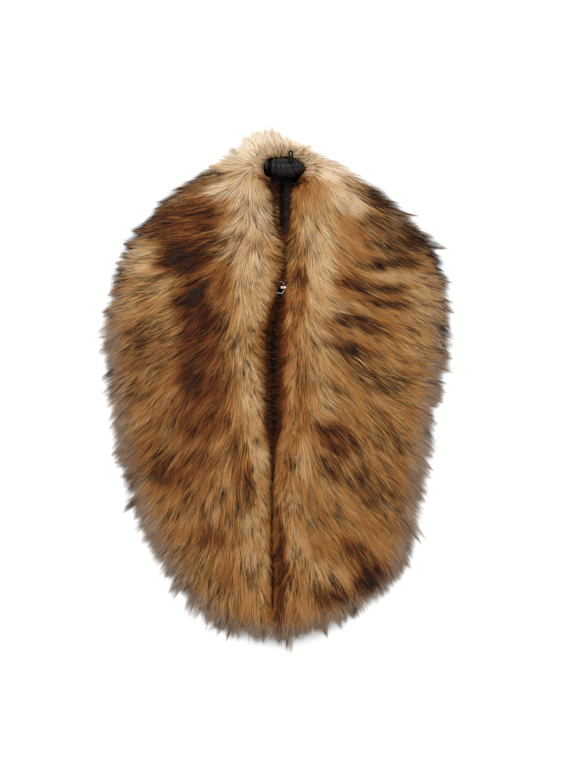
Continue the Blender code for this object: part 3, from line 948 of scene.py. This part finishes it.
def body_drop(coat, spike_off, spike, wisp, noise):
    """How far inside the outline other hair ends: in spikes whose middles reach farthest."""
    drop = 0.7 * spike.spike + 0.2 * wisp.spike - LONG_SPIKE * fade(*LONG_SPIKES, spike.chance)
    drop += np.minimum(SPIKE_FLANK[0] * np.abs(spike_off) / SPIKE_PITCH, SPIKE_FLANK[1])
    return coat.spike * drop + noise.exponential(3.0, len(drop))


def lay_over(half, coat, path, deep):
    """Paths with their heights: roots in the undercoat, tips deep under the pile's top."""
    count = len(path)
    at_row, at_far = half.find(path.reshape(-1, 2))
    top = half.pile(at_row, at_far).reshape(count, coat.points)
    past = at_far > half.at(at_row, "hide") + UNDER_PAST
    floor = np.where(past, FLOOR_CLEAR, half.under(at_row, at_far)).reshape(count, coat.points)
    depth = np.maximum(top[:, 0] - floor[:, 0], 1.0)
    rise = np.linspace(0, 1, coat.points) ** RISE_LATE
    high = top - depth[:, None] * (1 - rise) - deep[:, None] * rise
    return np.concatenate([path, np.maximum(high, floor + HAIR_CLEAR)[..., None]], 2)


def colour_hair(half, coat, spot, lock_spot, lock, wisp, noise):
    """Place across the colour map of hairs whose ends show at a spot, at their lock's spot."""
    traits = half.traits
    tone, dark = coat_tone(0.5 * spot + 0.5 * lock_spot)
    row, far = half.find(spot)
    lip, reach = half.at(row, "lip", "reach")
    tone += (lock.tone + wisp.tone + noise.normal(0, TONE_NOISE, len(spot))) * (0.4 + tone)
    brown = (1 - fade(*LIP_BROWN, far - lip)) * fade(*LIP_ROWS, row)
    tone += traits.brown * brown * (LIP_TONE - tone)
    # Inside the lip the fur turns towards the channel's tone: partly darker hair, partly painted shade.
    middle = within(*CHANNEL_MIDDLE, spot[:, 1])
    ragged = RAGGED * middle * (wisp.spike - RAGGED_MEAN)
    lip_dark_and_shade = 1 - fade(INWARD_FROM, INWARD_TO + INWARD_MORE * middle, far - lip + half.over(row) - ragged)
    lip_dark_and_shade *= fade(*INWARD_ROWS, row) * (traits.dark + traits.dark_middle * middle)
    tone += lip_dark_and_shade * (between(CHANNEL_TONE_AND_SHADE, spot[:, 1], "tone") - INWARD_LESS - tone)
    upper = fade(traits.upper_from, traits.upper_to, spot[:, 1])
    rim = fade(*RIM, far - reach)
    dark *= 1 - RIM_DARK_LESS * rim * (1 - upper)
    dark_tipped = (lock.chance < DARK_LOCK * dark) & (noise.random(len(spot)) < DARK_IN_LOCK)
    dark_tipped |= wisp.chance < DARK_WISP * dark
    dark_tipped |= lock.chance > 1 - coat.tips * fade(*TIPS_TONE, tone) * upper
    ash = noise.random(len(spot)) < rim * (RIM_ASH - RIM_ASH_LESS * upper)
    kind = np.where(dark_tipped, DARK_TIPPED_HAIR, np.where(ash, ASH_HAIR, PLAIN_HAIR))
    return map_across(kind, tone)


def grow(half, coat, locks, wisps, spikes, noise):
    """Rows, and the paths, widths, rolls and colours, of one coat of a half's hair."""
    count = round(HAIRS * coat.share)
    root = pick_roots(half, coat, count, wisps, noise)
    row, far = half.find(root)
    lock, wisp = locks.nearest(root), wisps.nearest(root)
    body = fade(*NAPE_ROWS, row)
    inner = (1 - fade(INNER_FROM, INNER_TO, far - half.at(row, "ridge"))) * body
    length = coat.length * (1 - INNER_SHORTER * inner) * lock.length * wisp.length
    length *= noise.uniform(*LENGTHS, count)
    turn = lock.turn + wisp.turn + noise.normal(0, HAIR_TURN, count)
    turn += sum(s.degrees * np.sin(root[:, 0] / s.x + root[:, 1] / s.y) for s in SWAY)

    # Where a path would pass the outline, or reach far into the channel, the hair is shorter. At
    # the outline the hairs draw together into spikes.
    path = half.trace(root, length, turn, ROUGH_POINTS)
    heading = path[:, -1] - path[:, 0]
    heading /= np.linalg.norm(heading, axis=1, keepdims=True) + TINY
    cross = np.stack([-heading[:, 1], heading[:, 0]], 1)
    at_row, at_far = (found.reshape(count, -1) for found in half.find(path.reshape(-1, 2)))
    past = np.maximum(at_far - half.at(at_row, "reach"), -path[..., 1] - TAIL_END)
    past -= (coat.past * (NAPE_PAST + (1 - NAPE_PAST) * body))[:, None]
    end = spots_along(path, first_crossing(past))
    spike = spikes.nearest(end)
    lock_off = ((root - lock.spot) * cross).sum(1)
    wisp_off = ((root - wisp.spot) * cross).sum(1)
    spike_off = ((end - spike.spot) * cross).sum(1)
    at_nape = nape_drop(coat, end[:, 0], spike, wisp, noise)
    at_body = body_drop(coat, spike_off, spike, wisp, noise)
    drop = body * at_body + (1 - body) * at_nape
    share = first_crossing(past + drop[:, None])
    hang = noise.exponential(2.0, count) - half.over(row) * (0.4 + 0.6 * wisp.spike)
    inside = first_crossing(half.at(at_row, "lip") + hang[:, None] - at_far)
    at_outline = share < 1
    share = np.minimum(share, np.where(at_far[:, -1] < far - 1, inside, 1.0))
    length *= np.clip(share, LEAST_SHARE, 1.0)

    # The hairs draw together towards their ends.
    spike_pull = (SPIKE_PULL + SPIKE_MORE * spike.chance) * spike_off
    outer = min(1.0, coat.clump / FULL_CLUMP) * (spike_pull + EDGE_WISP_PULL * wisp_off)
    outer = body * outer + (1 - body) * (NAPE_SPIKE_PULL * spike_off + NAPE_WISP_PULL * wisp_off)
    inner = coat.clump * (LOCK_PULL * lock_off + WISP_PULL * wisp_off)
    pull = np.where(at_outline, outer, inner) if coat.few == 1 else coat.clump * wisp_off
    drawn = np.linspace(0, 1, coat.points) ** PULL_LATE
    path = half.trace(root, length, turn, coat.points)
    path = path - (pull[:, None] * drawn)[..., None] * cross[:, None]
    deep = noise.exponential(coat.deep, count) + LOCK_SAG * (lock_off / (LOCK_PITCH / 2)) ** 2
    paths = lay_over(half, coat, path, deep - lock.lift)

    spot = path[:, -2] * 0.5 + path[:, -1] * 0.5
    lock_end = spot - lock_off[:, None] * cross * 0.5
    across = colour_hair(half, coat, spot, lock_end, lock, wisp, noise)
    wide = coat.wide * noise.uniform(*WIDTHS, count)
    return row, (paths, wide, noise.normal(0, HAIR_ROLL, count), across)


ZONES = ("nape", "shoulder", "tail")


def make_hair(half, finish):
    """The hair of a half, in a piece for each zone."""
    noise = np.random.default_rng(half.traits.seed)
    locks = Tufts(LOCK_PITCH, noise, 0.22, 10.0, 0.09, 3.0)
    wisps = Tufts(WISP_PITCH, noise, 0.20, 9.0, 0.13, 1.5)
    spikes = Tufts(SPIKE_PITCH, noise)
    long_locks = Tufts(EDGE_PITCH, noise, 0.15, 8.0, 0.06, 3.0)
    grown = []
    for coat in COATS:
        own = long_locks if coat.name == "edge" else locks
        grown.append(grow(half, coat, own, wisps, spikes, noise))
    cuts = np.quantile(np.concatenate([row for row, _ in grown]), np.linspace(0, 1, len(ZONES) + 1))
    cuts[-1] += 1
    pieces = []
    for zone, low, high in zip(ZONES, cuts, cuts[1:]):
        parts = []
        for row, hairs in grown:
            here = (row >= low) & (row < high)
            parts.append(ribbons(*(of[here] for of in hairs)))
        pieces.append(hair_piece(f"hair_{half.name}_{zone}", parts, finish))
    return pieces


UNDER_TONE = 0.16  # by which the undercoat is darker than the hair over it
UNDER_ALONG = 0.22  # of the way along a hair, whose colour the undercoat has
UNDER_ROWS, UNDER_RINGS = 110, 24
UNDER_LIP = (1.0, 9.0)  # from the lip, over which the channel's tone, partly painted shade, ends


def make_undercoat(half, finish):
    """The thin wool skin in which the hair is rooted."""
    name = "undercoat_" + half.name
    rows = np.linspace(0.02, half.last - 0.02, UNDER_ROWS)
    base, out = half.line(rows)
    neck, hide, lip = half.at(rows, "neck", "hide", "lip")
    start = neck + STAND_WIDE + UNDER_INSET
    edge_dark_and_shade = between(CHANNEL_TONE_AND_SHADE, base[:, 1], "tone")
    rings, tones = [], []
    for share in np.linspace(0, 1, UNDER_RINGS):
        far = start + (hide + UNDER_PAST - start) * share**1.2
        spots = base + out * far[:, None]
        tone = coat_tone(spots)[0] + UNDER_TONE
        # Near the lip the undercoat takes the channel's tone: partly darker hair, partly painted shade.
        tone += (edge_dark_and_shade - tone) * (1 - fade(*UNDER_LIP, far - lip))
        rings.append(np.column_stack([spots, half.under(rows, far)]))
        tones.append(tone)
    data = grid_mesh(name, np.stack(rings, 1))
    across = map_across(PLAIN_HAIR, np.stack(tones, 1).ravel())
    corners = np.empty(len(data.loops), np.int32)
    data.loops.foreach_get("vertex_index", corners)
    add_map(data, np.column_stack([across[corners], np.full(len(corners), UNDER_ALONG)]))
    piece = link(name, data, finish)
    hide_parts("fur_" + half.name)
    return piece


LIP_HAIRS = 5600  # in each half
LIP_POINTS = 4  # of a short hair's path
LIP_OVER = 3.2  # by which the short hair hangs farther over the channel than the long
LIP_BULGE = 1.5
CLASP_Y, CLASP_CLEAR = 116.0, 5.0  # where the hair leaves the hook and the eye in sight
NAPE_TURNS = 4.3  # row before which the short hair lies outward from the gather


def make_lip_hair(half, finish):
    """Short hair at the lip, dark partly with painted channel shade, which hangs over the channel's
    edge, and that of the nape's back.
    """
    noise = np.random.default_rng(half.traits.seed + 10)
    count = LIP_HAIRS
    run, _ = run_along(half.base + half.out * half.lip[:, None])
    row = np.interp(noise.uniform(run[0], run[-1], count), run, half.rows)
    nape = row < NAPE_TURNS
    neck, lip = half.at(row, "neck", "lip")
    base, out = half.line(row)
    y = base[:, 1]
    start = neck + STAND_WIDE + noise.uniform(0.2, 6.0, count)
    angle = np.radians(noise.normal(18, 36, count))
    start = np.where(nape, lip + noise.uniform(-1.0, 4.0, count), start)
    angle = np.where(nape, 0.6 * angle - 0.2, angle)
    down = half.side * np.stack([out[:, 1], -out[:, 0]], 1)
    way = np.where(nape, 1, -1)[:, None] * out * np.cos(angle)[:, None] + down * np.sin(angle)[:, None]
    clear = 1 - np.exp(-(((y - CLASP_Y) / CLASP_CLEAR) ** 2))
    over = half.over(row) * noise.uniform(0.1, 1.0, count)
    over += clear * noise.exponential(LIP_OVER, count) - (1 - clear)
    length = start - lip + over * fade(0.3, 4.0, lip) + 0.5
    length = np.where(nape, noise.uniform(8, 18, count), length)
    foot = np.where(nape, noise.uniform(23.0, 32.0, count), noise.uniform(14.8, 17.5, count))
    drop = np.where(nape, -8, noise.uniform(1.0, 8.0, count))
    t = np.linspace(0, 1, LIP_POINTS)
    root = base + out * start[:, None]
    path = root[:, None] + way[:, None] * (length[:, None] * t)[..., None]
    high = foot[:, None] + LIP_BULGE * np.sin(math.pi * t) - drop[:, None] * t**2
    # The channel's tone: partly darker hair, partly painted shade of the channel.
    tone = between(CHANNEL_TONE_AND_SHADE, y, "tone")
    tone += half.traits.pale * fade(100, 140, y) * (coat_tone(root)[0] - tone)
    tone += noise.normal(0, 0.07, count)
    wide = noise.uniform(0.35, 0.7, count)
    paths = np.concatenate([path, high[..., None]], 2)
    part = ribbons(paths, wide, noise.normal(0, 0.5, count), map_across(PLAIN_HAIR, tone))
    return hair_piece(f"hair_{half.name}_lip", [part, back_hair(half, noise)], finish)


BACK_HAIRS = 1300  # in each half
BACK_TURNS = 3.6  # row before which the pile's back is steep


def back_hair(half, noise):
    """Short hair on the steep back of the nape, under the long hair."""
    count = BACK_HAIRS
    row = noise.uniform(0.0, BACK_TURNS, count)
    far = half.at(row, "hide") + noise.uniform(0.0, 4.8, count)
    base, out = half.line(row)
    length = noise.uniform(8.0, 16.0, count)
    path = half.trace(base + out * far[:, None], length, noise.normal(0, 14, count), LIP_POINTS)
    top = half.under(row, far) * noise.uniform(0.35, 1.05, count)
    low = np.maximum(0.8, top - noise.uniform(5.0, 14.0, count))
    high = top[:, None] + (low - top)[:, None] * np.linspace(0, 1, LIP_POINTS) ** 1.3
    tone = coat_tone(path[:, -1])[0] + noise.normal(0, 0.08, count)
    wide = noise.uniform(0.5, 0.8, count)
    paths = np.concatenate([path, high[..., None]], 2)
    return ribbons(paths, wide, noise.normal(0, HAIR_ROLL, count), map_across(PLAIN_HAIR, tone))


# ---------------------------------------------------------------- satin

# Creases of the lining: row of the tables, distance out, half length along the crease, half width,
# depth and turn in degrees.
CREASES = table(
    "row far long wide deep turn",
    (3.2, 40, 22, 4, 0.9, 20),
    (4.6, 70, 34, 5, 1.1, -15),
    (5.8, 28, 16, 3, 0.6, 40),
    (6.9, 105, 40, 6, 1.2, 10),
    (8.3, 60, 30, 4.5, 0.8, -35),
    (9.7, 130, 44, 5, 1.2, 5),
    (10.8, 80, 26, 3.5, 0.7, 25),
    (12.1, 120, 50, 6, 1.1, -10),
    (13, 45, 24, 4, 0.9, 35),
    (14.2, 95, 36, 5, 1, -25),
    (15.3, 60, 30, 4, 0.8, 15),
    (16.6, 100, 34, 5, 1.1, -5),
    (17.8, 50, 26, 4, 0.9, 30),
    (18.9, 30, 18, 3, 0.6, -20),
)
LINING_ROWS = 132
LINING_FLAT = 0.05  # height of the flat part
FLAT_RINGS = 14
CREASE_MOST, CREASE_WAVE = 1.3, 3.0  # depth, and how far a crease bends sideways
WAVE_MOST = 0.8  # of the puckers along the neck edge, in their own units
LINING_EDGE = table("inside high", (4.0, 1.4), (0.6, 1.2), (0.0, 0.7))  # over the hide's edge

# The lining's section where it is folded back at the part line and rolled at the neck: shares of
# the distances out of its foot, bow and neck, a shift outward, the height, and how far the puckers
# move it outward and up.
FOLDED = table(
    "foot bow neck shift high wave_out wave_up",
    (0, 0, 0, -0.12, 1.5, 0, 0),
    (0, 0, 0, 0.3, 2.9, 0, 0),
    (0.5, 0, 0, 0.15, 2.7, 0, 0.25),
    (1, 0, 0, -0.1, 3.2, 0, 0.3),
    (0.5, 0.5, 0, 0, 5.6, 0, 0),
    (0, 1, 0, 0, 8.6, 0.5, 0),
    (0, 0.5, 0.5, 0, 11.6, 0.4, 0),
    (0, 0, 1, 0, 13.9, 0, 0.3),
    (0, 0, 1, 0.8, 14.5, 0, 0.3),
    (0, 0, 1, 1.5, 14, 0, 0.2),
    (0, 0, 1, 1.4, 12, 0, 0),
)


def crease_depth(half, spots):
    """How deep the lining's creases are at points."""
    deep = np.zeros(len(spots))
    for crease in CREASES:
        (middle,), (out,) = half.line([crease.row])
        turn = math.radians(crease.turn)
        way = out * math.cos(turn) + half.side * np.array([out[1], -out[0]]) * math.sin(turn)
        away = spots - middle - out * crease.far
        u = away @ way / crease.long
        v = (away @ np.array([-way[1], way[0]]) + CREASE_WAVE * np.sin(2.2 * u)) / crease.wide
        deep += crease.deep * np.exp(-(u**2) - v**2)
    return np.minimum(deep, CREASE_MOST)


def make_lining(half, finish):
    """The satin lining: flat on the surface, folded back at the part line and rolled at the neck."""
    name = "lining_cloth_" + half.name
    rows = np.linspace(0, half.last, LINING_ROWS)
    base, out = half.line(rows)
    neck, foot, hide = half.at(rows, "neck", "foot", "hide")
    bow = foot + STAND_BOW * (neck - foot)
    pucker = 0.5 * np.sin(rows * 9.1) * np.sin(rows * 3.7 + 1) + 0.35 * np.sin(rows * 23.0 + 2)
    wave = np.clip(pucker, -WAVE_MOST, WAVE_MOST)
    section = [(hide - at.inside, at.high) for at in LINING_EDGE]
    for share in np.linspace(0, 1, FLAT_RINGS):
        far = hide - 0.6 - (hide - 0.9) * share
        creased = crease_depth(half, base + out * far[:, None]) if share < 1 else 0.0
        section.append((far, LINING_FLAT + creased))
    for at in FOLDED:
        far = at.foot * foot + at.bow * bow + at.neck * neck + at.shift + at.wave_out * wave
        section.append((far, at.high + at.wave_up * wave))
    rings = [np.column_stack([base + out * far[:, None], high + 0 * far]) for far, high in section]
    piece = link(name, grid_mesh(name, np.stack(rings, 1)), finish)
    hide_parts("lining_" + half.name)
    return piece


GATHER_WIDEST = 35.0  # height
GATHER_STEM = 4.2  # half width of its foot
GATHER_STEM_RUN = 0.22  # share to each side
GATHER_MIDDLE = 259.0  # y at which a fold's x is given
GATHER_COLUMNS, GATHER_TURNS = 200, 31
GATHER_ROUND = (-8, 188)  # degrees of its crown
GATHER_ENDS = 1.2  # by which its ends are drawn in
FOLD_PUSH = 0.75  # share of a fold's depth by which the cloth moves in
FOLD_WIDE = 6.0  # half width of the gather from which its folds are whole
FOLD_MEAN = 0.7

# Folds of the gather: x, depth, half width and lean in mm of x for each mm of y. The first is the
# edge of its turned-back left end.
FOLDS = table(
    "x deep wide lean",
    (-11.6, 1, 0.8, 0.20),
    (-7.2, 3, 1.2, 0.06),
    (-3.6, 0.9, 0.8, -0.05),
    (-0.4, 2, 0.9, 0.04),
    (2.6, 0.9, 0.7, 0.08),
    (5.4, 1.5, 0.8, -0.04),
    (8.2, 0.8, 0.6, 0.05),
    (11.4, 1.4, 0.9, -0.08),
    (14.4, 0.7, 0.6, -0.20),
    (18.6, 2.4, 1.1, -0.50),
    (21.8, 0.9, 0.7, -0.45),
    (24.6, 1.7, 0.9, -0.42),
    (27.6, 1, 0.8, -0.30),
    (30.4, 1.2, 0.8, -0.15),
)


def fold_depth(x, y):
    """How deep the gather's folds are at points of its crown, less their mean."""
    deep = -FOLD_MEAN
    for fold in FOLDS:
        away = (x - fold.x - fold.lean * (y - GATHER_MIDDLE)) / fold.wide
        deep = deep + fold.deep * np.exp(-np.abs(away) ** 1.5)
    return deep


def gather_low(share):
    """Height of the gather's foot at a share of its length."""
    floor = 2 * SATIN + GAP
    off = np.maximum(0.0, (abs(share - 0.5) - GATHER_STEM_RUN) / (0.5 - GATHER_STEM_RUN))
    return floor + (GATHER_WIDEST - 2 * SATIN - floor) * off**1.5


def drawn_in(ring, deep):
    """Rings that close an end of the gather, drawn in on its thread."""
    middle = ring.mean(0) + (deep, 0, 0)
    return [middle + (ring - middle) * share for share in (0.05, 0.45, 0.8)]


def make_gather(finish):
    """The ruched bag of satin in the channel's top."""
    shares = np.linspace(0, 1, GATHER_COLUMNS)
    x, y, wide, top = smooth(GATHER, shares * (len(GATHER) - 1)).T
    low, rise = gather_low(shares), top - GATHER_WIDEST
    below = GATHER_WIDEST - low
    stem = np.minimum(GATHER_STEM, 0.6 * wide)
    # Places round it: distance from its middle, height and the share of the folds there.
    skirt = [(stem, low + 1, 0.2), (stem, low + 0.2 * below, 0.3), (0.8 * wide, low + 0.6 * below, 0.6)]
    turns = np.radians(np.linspace(*GATHER_ROUND, GATHER_TURNS))
    crown = [(wide * math.cos(turn), GATHER_WIDEST + rise * math.sin(turn), 1.0) for turn in turns]
    places = []
    for off, high, full in skirt + crown + [(-off, high, full) for off, high, full in skirt[::-1]]:
        push = FOLD_PUSH * fold_depth(x, y + off) * full * np.minimum(1.0, wide / FOLD_WIDE)
        up = np.maximum(0.0, (high - GATHER_WIDEST) / rise)
        places.append(np.column_stack([x, y + off - push * off / np.maximum(wide, 1), high - push * up]))
    rings = list(np.stack(places, 1))
    rings = drawn_in(rings[0], GATHER_ENDS) + rings + drawn_in(rings[-1], -GATHER_ENDS)[::-1]
    piece = link("gather_cloth", grid_mesh("gather_cloth", rings), finish)
    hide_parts("nape_gather")


LOOP_CORD = 2.4
LOOP_TURNS = 11  # of the twist in the loop's cord
LOOP_STRAIGHT = 0.8  # height of its feet
LOOP_DIP = 0.4  # of its bends under its top
LOOP_POINTS, LOOP_SIDES = 90, 14
LOOP_STRANDS = (0.92, 0.10)  # least share of the cord's radius, and what the strands add


def loop_route():
    """The middle line of the loop: up from the gather and over to the nape, and back."""
    low, high = (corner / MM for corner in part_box("hanging_loop"))
    thick = LOOP_CORD / 2
    middle = (low.x + high.x) / 2
    half = (high.x - low.x) / 2 - thick
    foot_y, foot_z = low.y + thick, low.z
    end_y, top_z = high.y - thick, high.z - thick
    side = [(half, foot_y, foot_z), (half, foot_y, foot_z + 1.5)]
    bend = top_z - LOOP_DIP - foot_z - LOOP_STRAIGHT
    for turn in np.radians(np.linspace(15, 90, 6)):
        y = foot_y + bend * (1 - math.cos(turn))
        side.append((half, y, top_z - LOOP_DIP - bend * (1 - math.sin(turn))))
    side.append((half * 0.85, (foot_y + bend + end_y - half) / 2, top_z))
    for turn in np.radians((0, 30, 60, 90)):
        side.append((half * math.cos(turn), end_y - half + half * math.sin(turn), top_z - LOOP_DIP))
    route = side + [(-x, y, z) for x, y, z in side[-2::-1]]
    route = np.array([(middle + x, y, z) for x, y, z in route])
    return smooth(route, np.linspace(0, len(route) - 1, LOOP_POINTS))


def make_loop(finish):
    """The hanging loop: a cord of two twisted strands."""
    line = loop_route()
    along = np.gradient(line, axis=0)
    along /= np.linalg.norm(along, axis=1)[:, None]
    across = np.cross(along, np.array([0.2, 0.1, 1.0]))
    across /= np.linalg.norm(across, axis=1)[:, None]
    lift = np.cross(across, along)
    twist = 2 * math.pi * LOOP_TURNS * np.arange(len(line)) / len(line)
    rings = []
    for turn in np.linspace(0, 2 * math.pi, LOOP_SIDES, endpoint=False):
        radius = LOOP_CORD / 2 * (LOOP_STRANDS[0] + LOOP_STRANDS[1] * np.abs(np.cos(turn - twist)))
        rings.append(line + radius[:, None] * (math.cos(turn) * across + math.sin(turn) * lift))
    data = grid_mesh("loop_cord", np.stack(rings, 1), closed=True)
    piece = link("loop_cord", data, finish)
    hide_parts("hanging_loop")


STITCH_PITCH = 5.5
STITCH_LONG = 2.4
STITCH_THICK = 0.5
STITCH_HIGH, STITCH_BOW = 14.3, 0.5
STITCH_INSIDE = 0.8  # from the lining's neck edge
THREAD_THICK = 0.45
THREAD_TURNS = 3  # round each foot of the hook and the eye
THREAD_POINTS = 26
THREAD_ROUND = 0.8  # radius of the turns
THREAD_RUN = 0.9  # to each side of their middle
FOOT_IN = (1.0, 1.4, 0.7)  # from the box of the hook or eye to a bound foot's middle


def tube(points, thick, sides=6):
    """A thread along a line of points: its own points, corners and corner counts."""
    line = np.array(points, float)
    along = np.gradient(line, axis=0)
    along /= np.linalg.norm(along, axis=1)[:, None] + TINY
    across = np.cross(along, (0.31, 0.17, 0.94))
    across /= np.linalg.norm(across, axis=1)[:, None] + TINY
    lift = np.cross(along, across)
    turns = np.linspace(0, 2 * math.pi, sides, endpoint=False)
    ring = across[:, None] * np.cos(turns)[:, None] + lift[:, None] * np.sin(turns)[:, None]
    verts = (line[:, None] + ring * thick / 2).reshape(-1, 3)
    faces = grid_corners(len(line), sides, True)
    first = np.arange(sides)
    ends = np.stack([first[::-1], len(verts) - sides + first])
    sizes = [4] * len(faces) + [sides] * 2
    return verts, np.concatenate([faces.ravel(), ends.ravel()]), sizes


def make_stitches(half, finish):
    """A row of stitches that fells the lining to the hide along the neck edge."""
    run, spots = run_along(half.base + half.out * (half.neck + STITCH_INSIDE)[:, None])
    steps = np.linspace(0, 1, 5)
    high = STITCH_HIGH + STITCH_BOW * np.sin(math.pi * steps)
    tubes = []
    for start in np.arange(4, run[-1] - 6, STITCH_PITCH):
        points = np.column_stack([spots(start + STITCH_LONG * steps), high])
        tubes.append(tube(points, STITCH_THICK))
    name = "stitches_" + half.name
    link(name, joined(name, tubes), finish)


def make_binding(node, finish):
    """Turns of thread that sew the two feet of the hook or the eye to the neck edge."""
    low, high = (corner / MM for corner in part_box(node))
    outer = low.x + FOOT_IN[0] if node == "clasp_eye" else high.x - FOOT_IN[0]
    turn = np.linspace(0, 2 * math.pi * THREAD_TURNS, THREAD_POINTS)
    x = outer + np.linspace(-THREAD_RUN, THREAD_RUN, THREAD_POINTS)
    z = low.z + FOOT_IN[2] + THREAD_ROUND * np.sin(turn)
    tubes = []
    for foot in (low.y + FOOT_IN[1], high.y - FOOT_IN[1]):
        tubes.append(tube(np.column_stack([x, foot + THREAD_ROUND * np.cos(turn), z]), THREAD_THICK))
    name = "thread_" + node
    link(name, joined(name, tubes), finish)


# ---------------------------------------------------------------- stage

FLOOR = 6000.0  # half its side
FLOOR_GAP = 0.4  # under the wrap
CAMERA_HIGH = 4.2  # metres
SENSOR = 36.0


def make_stage():
    """The pale floor."""
    corners = [(-FLOOR, -FLOOR, 0), (FLOOR, -FLOOR, 0), (FLOOR, FLOOR, 0), (-FLOOR, FLOOR, 0)]
    data = mesh_from("floor", corners, [0, 1, 2, 3], [4])
    data.materials.append(floor_material())
    floor = show("floor", data)
    floor.location.z = -FLOOR_GAP * MM


def area_light(name, place, size, power):
    """A square light that faces the wrap's middle. Places and sizes are in metres."""
    light = bpy.data.lights.new(name, "AREA")
    light.shape = "RECTANGLE"
    light.size = light.size_y = size
    light.energy = power
    lamp = show(name, light)
    lamp.location = place
    lamp.rotation_euler = (-Vector(place)).to_track_quat("-Z", "Y").to_euler()


def make_lights():
    """A white studio with a key light from the nape's side and a fill from the other."""
    world = bpy.data.worlds.new("studio")
    bpy.context.scene.world = world
    world.use_nodes = True
    background = world.node_tree.nodes["Background"]
    background.inputs["Color"].default_value = (1, 1, 1, 1)
    background.inputs["Strength"].default_value = 0.75
    area_light("key", (-0.6, 1.1, 1.8), 1.3, 36.0)
    area_light("fill", (1.4, -0.6, 1.6), 1.2, 9.0)


def make_camera():
    """A long lens straight over the wrap, with the photo's frame."""
    camera = bpy.data.cameras.new("camera")
    camera.sensor_width = SENSOR
    camera.lens = SENSOR * CAMERA_HIGH / (PHOTO_HIGH * PHOTO_SCALE * MM)
    camera.clip_end = 100.0
    view = show("camera", camera)
    view.location = (VIEW_CENTRE[0] * MM, VIEW_CENTRE[1] * MM, CAMERA_HIGH)
    bpy.context.scene.camera = view
    bpy.context.scene.view_settings.view_transform = "Standard"


# ---------------------------------------------------------------- the whole


def main():
    make_camera()
    make_lights()
    make_stage()
    hair = hair_material()
    satin = satin_material("black_satin", 0.08, 0.45)
    glossy = satin_material("black_satin_gather", 0.24, 0.30)
    thread = thread_material()
    metal = metal_material()
    for traits in HALVES:
        half = Side(traits)
        undercoat = make_undercoat(half, hair)
        pieces = make_hair(half, hair) + [make_lip_hair(half, hair)]
        make_lining(half, satin)
        make_stitches(half, thread)
    make_gather(glossy)
    make_loop(satin)
    for node in ("clasp_eye", "clasp_hook"):
        make_binding(node, thread)
        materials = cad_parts[node].data.materials
        materials.clear()
        materials.append(metal)


main()
